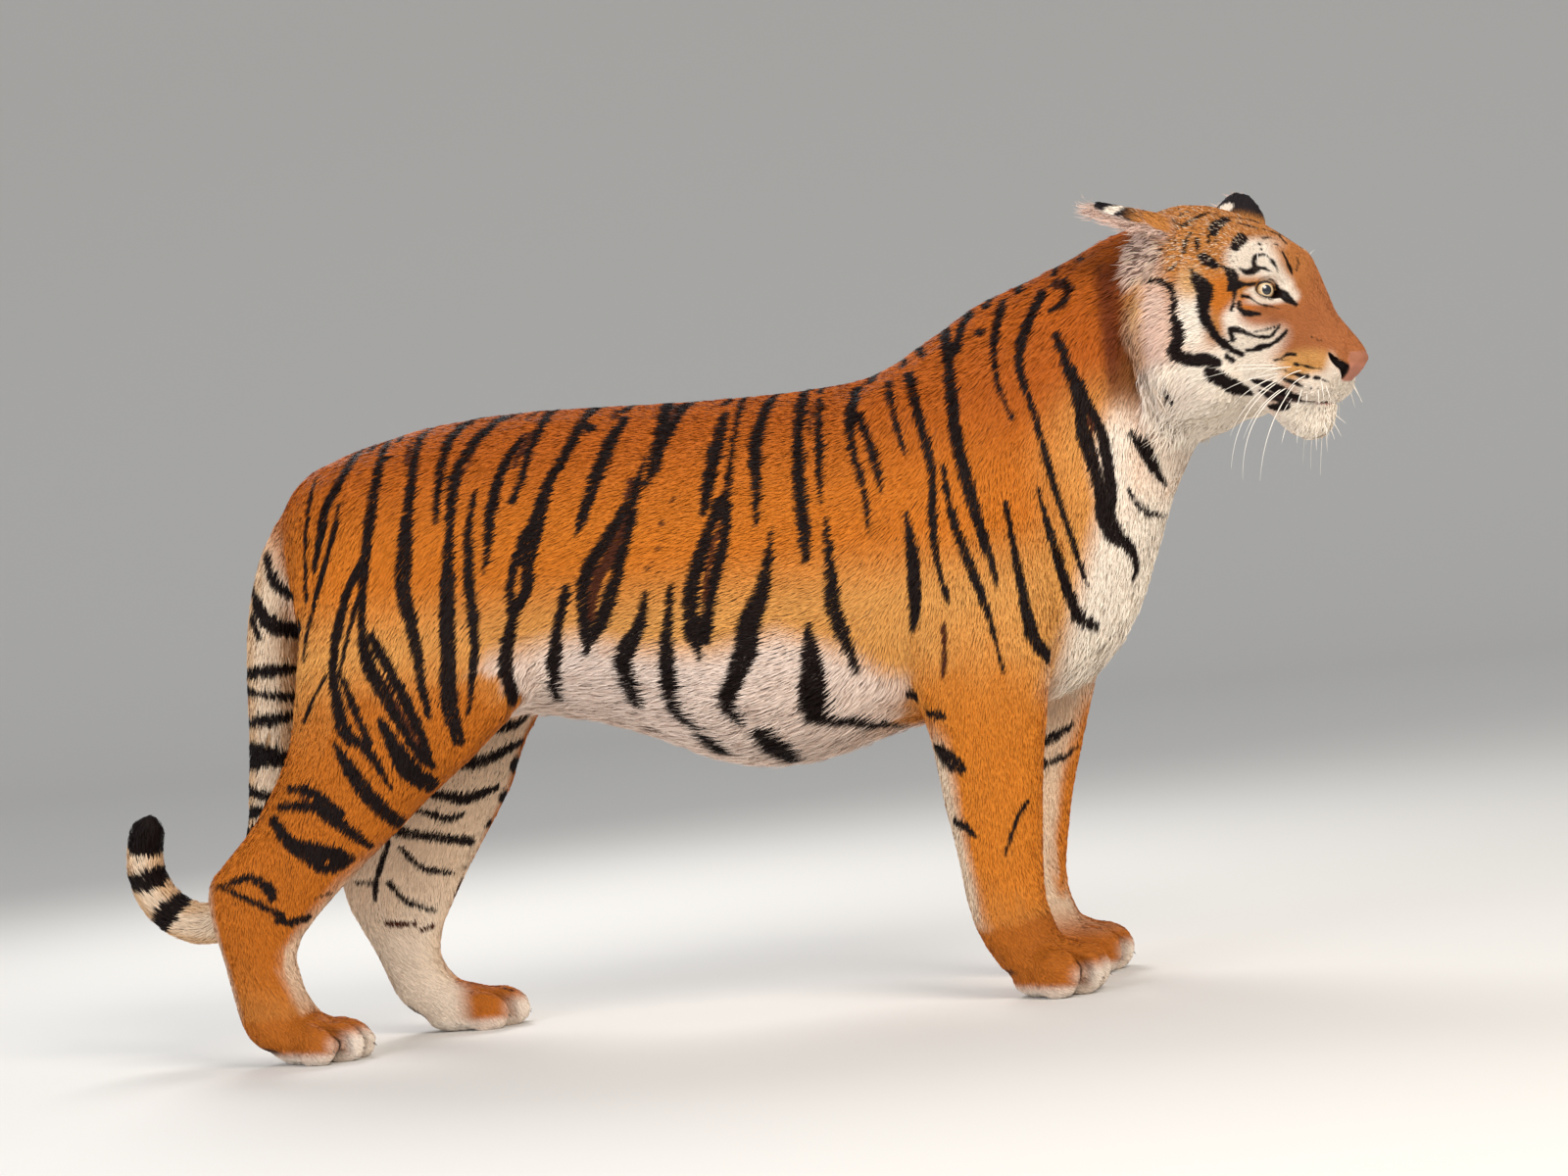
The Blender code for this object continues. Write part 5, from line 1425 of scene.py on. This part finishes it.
def headColours(colours, points, normals, share):
    local = toHead(points)
    x, z = local[:, 0] * 100, local[:, 2] * 100
    onHead = ramp(shareOf(share, "head", "eye"), 0.3, 0.7)
    for cx, cz, rx, rz, soft, name, strength in facePatches:
        out = np.sqrt(((x - cx) / rx) ** 2 + ((z - cz) / rz) ** 2)
        spread = soft / min(rx, rz)
        colours = blendTo(colours, name, (1 - ramp(out, 1 - spread, 1 + spread)) * strength * onHead)
    under = ramp(-normals[:, 2], 0.45, 0.8) * (1 - ramp(z, 84, 90))
    colours = blendTo(colours, "white", under * onHead)
    ear = shareOf(share, "ear")
    for name, (base, tip, faces) in ears.items():
        base, tip, faces = (np.array(v) for v in (base, tip, faces))
        side = ((local[:, 1] < 0) == (name == "right")) * ear
        along = ((local - base) @ (tip - base)) / ((tip - base) @ (tip - base))
        normalHead = normals @ np.array(headMatrix)[:3, :3]
        back = ramp(-(normalHead @ unit(faces)), -0.2, 0.3)
        colours = blendTo(colours, "ruff", side)
        frontEdge = ramp(normalHead @ np.array((0.9, 0, 0.3)), 0.2, 0.6) * (1 - ramp(along, 0.3, 0.6))
        colours = blendTo(colours, "earBack", side * back * ramp(along, 0.05, 0.25))
        spotX, spotZ = earSpots[name]
        spot = np.hypot(local[:, 0] - spotX, (local[:, 2] - spotZ) * 1.6)
        colours = blendTo(colours, "crown", side * frontEdge)
        colours = blendTo(colours, "white", side * back * (1 - ramp(spot, 0.009, 0.014)))
    return colours


coat = {"piece": 60000, "rootDark": 0.72, "rootPale": 0.12, "rootLegs": 0.13, "tipLight": 1.12,
        "patch": 0.0015, "roll": 0.34}


def unwrapSkin(piece):
    bpy.context.view_layer.objects.active = piece
    for other in bpy.context.view_layer.objects:
        other.select_set(other == piece)
    bpy.ops.object.mode_set(mode="EDIT")
    bpy.ops.mesh.select_all(action="SELECT")
    bpy.ops.uv.smart_project(angle_limit=math.radians(66), island_margin=0.002)
    bpy.ops.object.mode_set(mode="OBJECT")
    piece.data.uv_layers[0].name = "OFBake"


def coatMaterial():
    # guard hair of a tiger: dry, slightly glossy, lighter at the tip; the tint is grown on each tuft
    material, tree, shader = newMaterial("tigerHair", {"Roughness": 0.6, "Specular IOR Level": 0.14})
    tint = addNode(tree, "ShaderNodeAttribute", {"attribute_name": "tint"})
    tree.links.new(tint.outputs["Color"], shader.inputs["Base Color"])
    return material


def surface(mesh):
    mesh.calc_loop_triangles()
    return {
        "points": arrayOf(mesh, "vertices", "co", 3).astype(float),
        "normals": meshNormals(mesh),
        "edges": arrayOf(mesh, "edges", "vertices", 2, np.int32),
        "corners": arrayOf(mesh, "loop_triangles", "vertices", 3, np.int32),
        "loops": arrayOf(mesh, "loop_triangles", "loops", 3, np.int32),
    }


# skin of a tiger: pale and matt under the coat, with grain about 1.5 mm apart; the tint is laid on each face
skinMaterial, skinTree, skinShader = newMaterial("tigerSkin", {"Roughness": 0.6, "Specular IOR Level": 0.2})
tintNode = addNode(skinTree, "ShaderNodeAttribute", {"attribute_name": "tint"})
skinTree.links.new(tintNode.outputs["Color"], skinShader.inputs["Base Color"])
skinPlace = addNode(skinTree, "ShaderNodeTexCoord")
grain = addNode(skinTree, "ShaderNodeTexNoise", {"Scale": 700.0, "Detail": 3.0},
                {"Vector": skinPlace.outputs["Object"]})
skinBump = addNode(skinTree, "ShaderNodeBump", {"Strength": 0.35, "Distance": 0.0006},
                   {"Height": grain.outputs["Fac"]})
skinTree.links.new(skinBump.outputs["Normal"], skinShader.inputs["Normal"])
skin = addPiece("skin", skinMesh, skinMaterial)
skinMesh.shade_smooth()
unwrapSkin(skin)
body = surface(skinMesh)
body["share"] = nodeShares(body["points"], body["edges"], 4)
body["lie"] = lieOfCoat(body["points"], body["normals"], body["share"])
body["fur"] = furFields(body["points"], body["normals"], body["share"])
body["bvh"] = BVHTree.FromPolygons(body["points"].tolist(), body["corners"].tolist())
bare = bareSkin(body["points"])
body["fur"][:, 3] *= 1 - bare
uvs = np.empty(len(skinMesh.loops) * 2, np.float32)
skinMesh.uv_layers["OFBake"].data.foreach_get("uv", uvs)
body["uv"] = uvs.reshape(-1, 2)
layStripes(body)
skinColours = markedColours(body["points"], body["normals"], body["share"]) * 0.8
setTint(skinMesh, featureColours(body["points"], skinColours))


def sampleRoots(body):
    a, b, c = (body["points"][body["corners"][:, k]] for k in range(3))
    area = np.linalg.norm(np.cross(b - a, c - a), axis=1) / 2
    crowd = body["fur"][body["corners"], 3].mean(1) * 10000 * area
    total = np.cumsum(crowd)
    count = int(total[-1])
    which = np.searchsorted(total, (np.arange(count) + 0.5) * total[-1] / count)
    u = (np.arange(count) * 0.7548776662) % 1
    v = (np.arange(count) * 0.5698402910) % 1
    fold = u + v > 1
    u, v = np.where(fold, 1 - u, u), np.where(fold, 1 - v, v)
    return which, np.stack([1 - u - v, u, v], 1)


def mixed(body, name, which, weights):
    return (body[name][body["corners"][which]] * weights[:, :, None]).sum(1)


def nearestSkin(body, places):
    hits = [body["bvh"].find_nearest(p)[:2] for p in places.tolist()]
    return np.array([tuple(h[0]) for h in hits]), np.array([tuple(h[1]) for h in hits])


def growCoat(body):
    which, weights = sampleRoots(body)
    root = mixed(body, "points", which, weights)
    normal = unit(mixed(body, "normals", which, weights))
    lie = mixed(body, "lie", which, weights)
    share = mixed(body, "share", which, weights)
    size = mixed(body, "fur", which, weights)
    uv = (body["uv"][body["loops"][which]] * weights[:, :, None]).sum(1)
    count = len(root)
    across = np.cross(normal, lie)
    swing = 0.16 * cloud(root, 0.035, 1) + 0.10 * cloud(root, 0.011, 2) + 0.09 * random.standard_normal(count)
    swing *= 1 + 0.9 * ramp(size[:, 0], 24, 45)
    lie = unit(lie + across * swing[:, None])
    lie = unit(lie - normal * (lie * normal).sum(1, keepdims=True))
    across = unit(np.cross(normal, lie))
    length = size[:, 0] * 0.001 * (1 + 0.16 * cloud(root, 0.02, 3) + 0.14 * random.standard_normal(count))
    lift = size[:, 1] * 0.001 * (1 + 0.25 * cloud(root, 0.014, 4) + 0.20 * random.standard_normal(count))
    length, lift = np.maximum(length, 0.002), np.maximum(lift, 0.0004)
    half = size[:, 2] * 0.001 * random.uniform(0.8, 1.2, count)
    colours = markedColours(root + lie * (length * 0.62)[:, None], normal, share)
    local = toHead(root)
    ticked = random.random(count)
    crown = ramp(local[:, 2], 1.02, 1.06) * (1 - ramp(local[:, 0], 0.17, 0.24))
    crown = crown * share[:, partNames.index("head")]
    near = 0.35 + 0.65 * np.exp(-(((local[:, 0] - 0.06) / 0.045) ** 2) - ((local[:, 2] - 1.09) / 0.04) ** 2)
    colours = blendTo(colours, "brown", (ticked < 0.30 * near) * crown * 0.8)
    colours = blendTo(colours, "cream", (ticked > 1 - 0.34 * near) * crown * 0.7)
    roll = coat["roll"] * random.standard_normal(count)
    flat = across * np.cos(roll)[:, None] + normal * np.sin(roll)[:, None]
    flat *= half[:, None]
    length, lift = length[:, None], lift[:, None]
    ends = root + lie * length + normal * lift * 0.5
    under, slope = nearestSkin(body, ends)
    free = (openSide(root, normal) > 0.1) * share[:, partNames.index("ear")] > 0.3
    base = root - normal * lift * 0.15
    tip = np.where(free[:, None], ends, under + slope * lift * 0.95)
    lean = np.sqrt(np.clip(2 - 2 * (normal * slope).sum(1), 0, 2))
    bow = np.linalg.norm(tip - root, axis=1)[:, None] * lean[:, None] / 8
    middle = (root + tip) / 2 + unit(normal + slope) * (lift * 0.30 + bow)
    verts = np.stack([base - flat, base + flat, middle - flat * 0.9, middle + flat * 0.9, tip], 1)
    shade = random.uniform(0.90, 1.09, count)[:, None] * (1 + 0.05 * cloud(root, 0.05, 5))[:, None]
    rootShade = coat["rootDark"] + coat["rootPale"] * ramp(colours.mean(1), 0.25, 0.7)[:, None]
    rootShade += coat["rootLegs"] * shareOf(share, "shank", "foreleg", "metatarsus", "paw")[:, None]
    tints = np.stack([colours * rootShade] * 2 + [colours] * 2 + [colours * coat["tipLight"]], 1)
    tints = np.clip(tints * shade[:, None, :], 0, 1)
    patch = coat["patch"]
    corner = np.array([(-1, -1), (1, -1), (-1, 0), (1, 0), (0, 1)]) * patch
    uvs = uv[:, None, :] + corner[None]
    return verts, tints, uvs, share, root


def coatPiece(name, verts, tints, uvs, material):
    count = len(verts)
    mesh = bpy.data.meshes.new(name)
    mesh.vertices.add(count * 5)
    places = verts.reshape(-1, 3) - np.array(shift)
    places[:, 2] = np.maximum(places[:, 2], 0.0003)
    mesh.vertices.foreach_set("co", places.astype(np.float32).ravel())
    pattern = np.array([0, 1, 3, 2, 2, 3, 4])
    corners = (np.arange(count)[:, None] * 5 + pattern).astype(np.int32)
    mesh.loops.add(count * 7)
    mesh.loops.foreach_set("vertex_index", corners.ravel())
    mesh.polygons.add(count * 2)
    starts = (np.arange(count)[:, None] * 7 + np.array([0, 4])).astype(np.int32)
    mesh.polygons.foreach_set("loop_start", starts.ravel())
    mesh.update(calc_edges=True)
    setTint(mesh, tints.reshape(-1, 3))
    layer = mesh.uv_layers.new(name="OFBake")
    layer.data.foreach_set("uv", uvs.reshape(-1, 2)[corners.ravel()].astype(np.float32).ravel())
    mesh.shade_smooth()
    piece = addPiece(name, mesh, material)
    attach(piece, "root")
    return piece


def makeCoat(body):
    material = coatMaterial()
    verts, tints, uvs, share, root = growCoat(body)
    zones = {"head": ("head", "ear", "eye"), "neck": ("neck",), "trunk": ("trunk",),
             "foreleg": ("foreleg",), "hindleg": ("thigh", "shank", "metatarsus"), "feet": ("paw",),
             "tail": ("tail",)}
    strongest = share.argmax(1)
    for zone, members in zones.items():
        chosen = np.flatnonzero(np.isin(strongest, [partNames.index(m) for m in members]))
        chosen = chosen[np.argsort(root[chosen, 0], kind="stable")]
        pieces = max(1, math.ceil(len(chosen) / coat["piece"]))
        for k, some in enumerate(np.array_split(chosen, pieces)):
            name = f"coat_{zone}" + (f"_{k + 1}" if pieces > 1 else "")
            print("   ", name, len(some), "tufts")
            coatPiece(name, verts[some], tints[some], uvs[some], material)
    print("    in all", len(root), "tufts,", 3 * len(root), "triangles")


makeCoat(body)
makeLids()
makeEye("right", -1)
makeEye("left", 1)
makeWhiskers(body)
makeClaws()
skinMesh.vertices.foreach_set("co", (body["points"] - np.array(shift)).ravel())
skinMesh.update()
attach(skin, "root")
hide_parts(*[n for n in frame["nodes"] if not n.startswith("eye")])
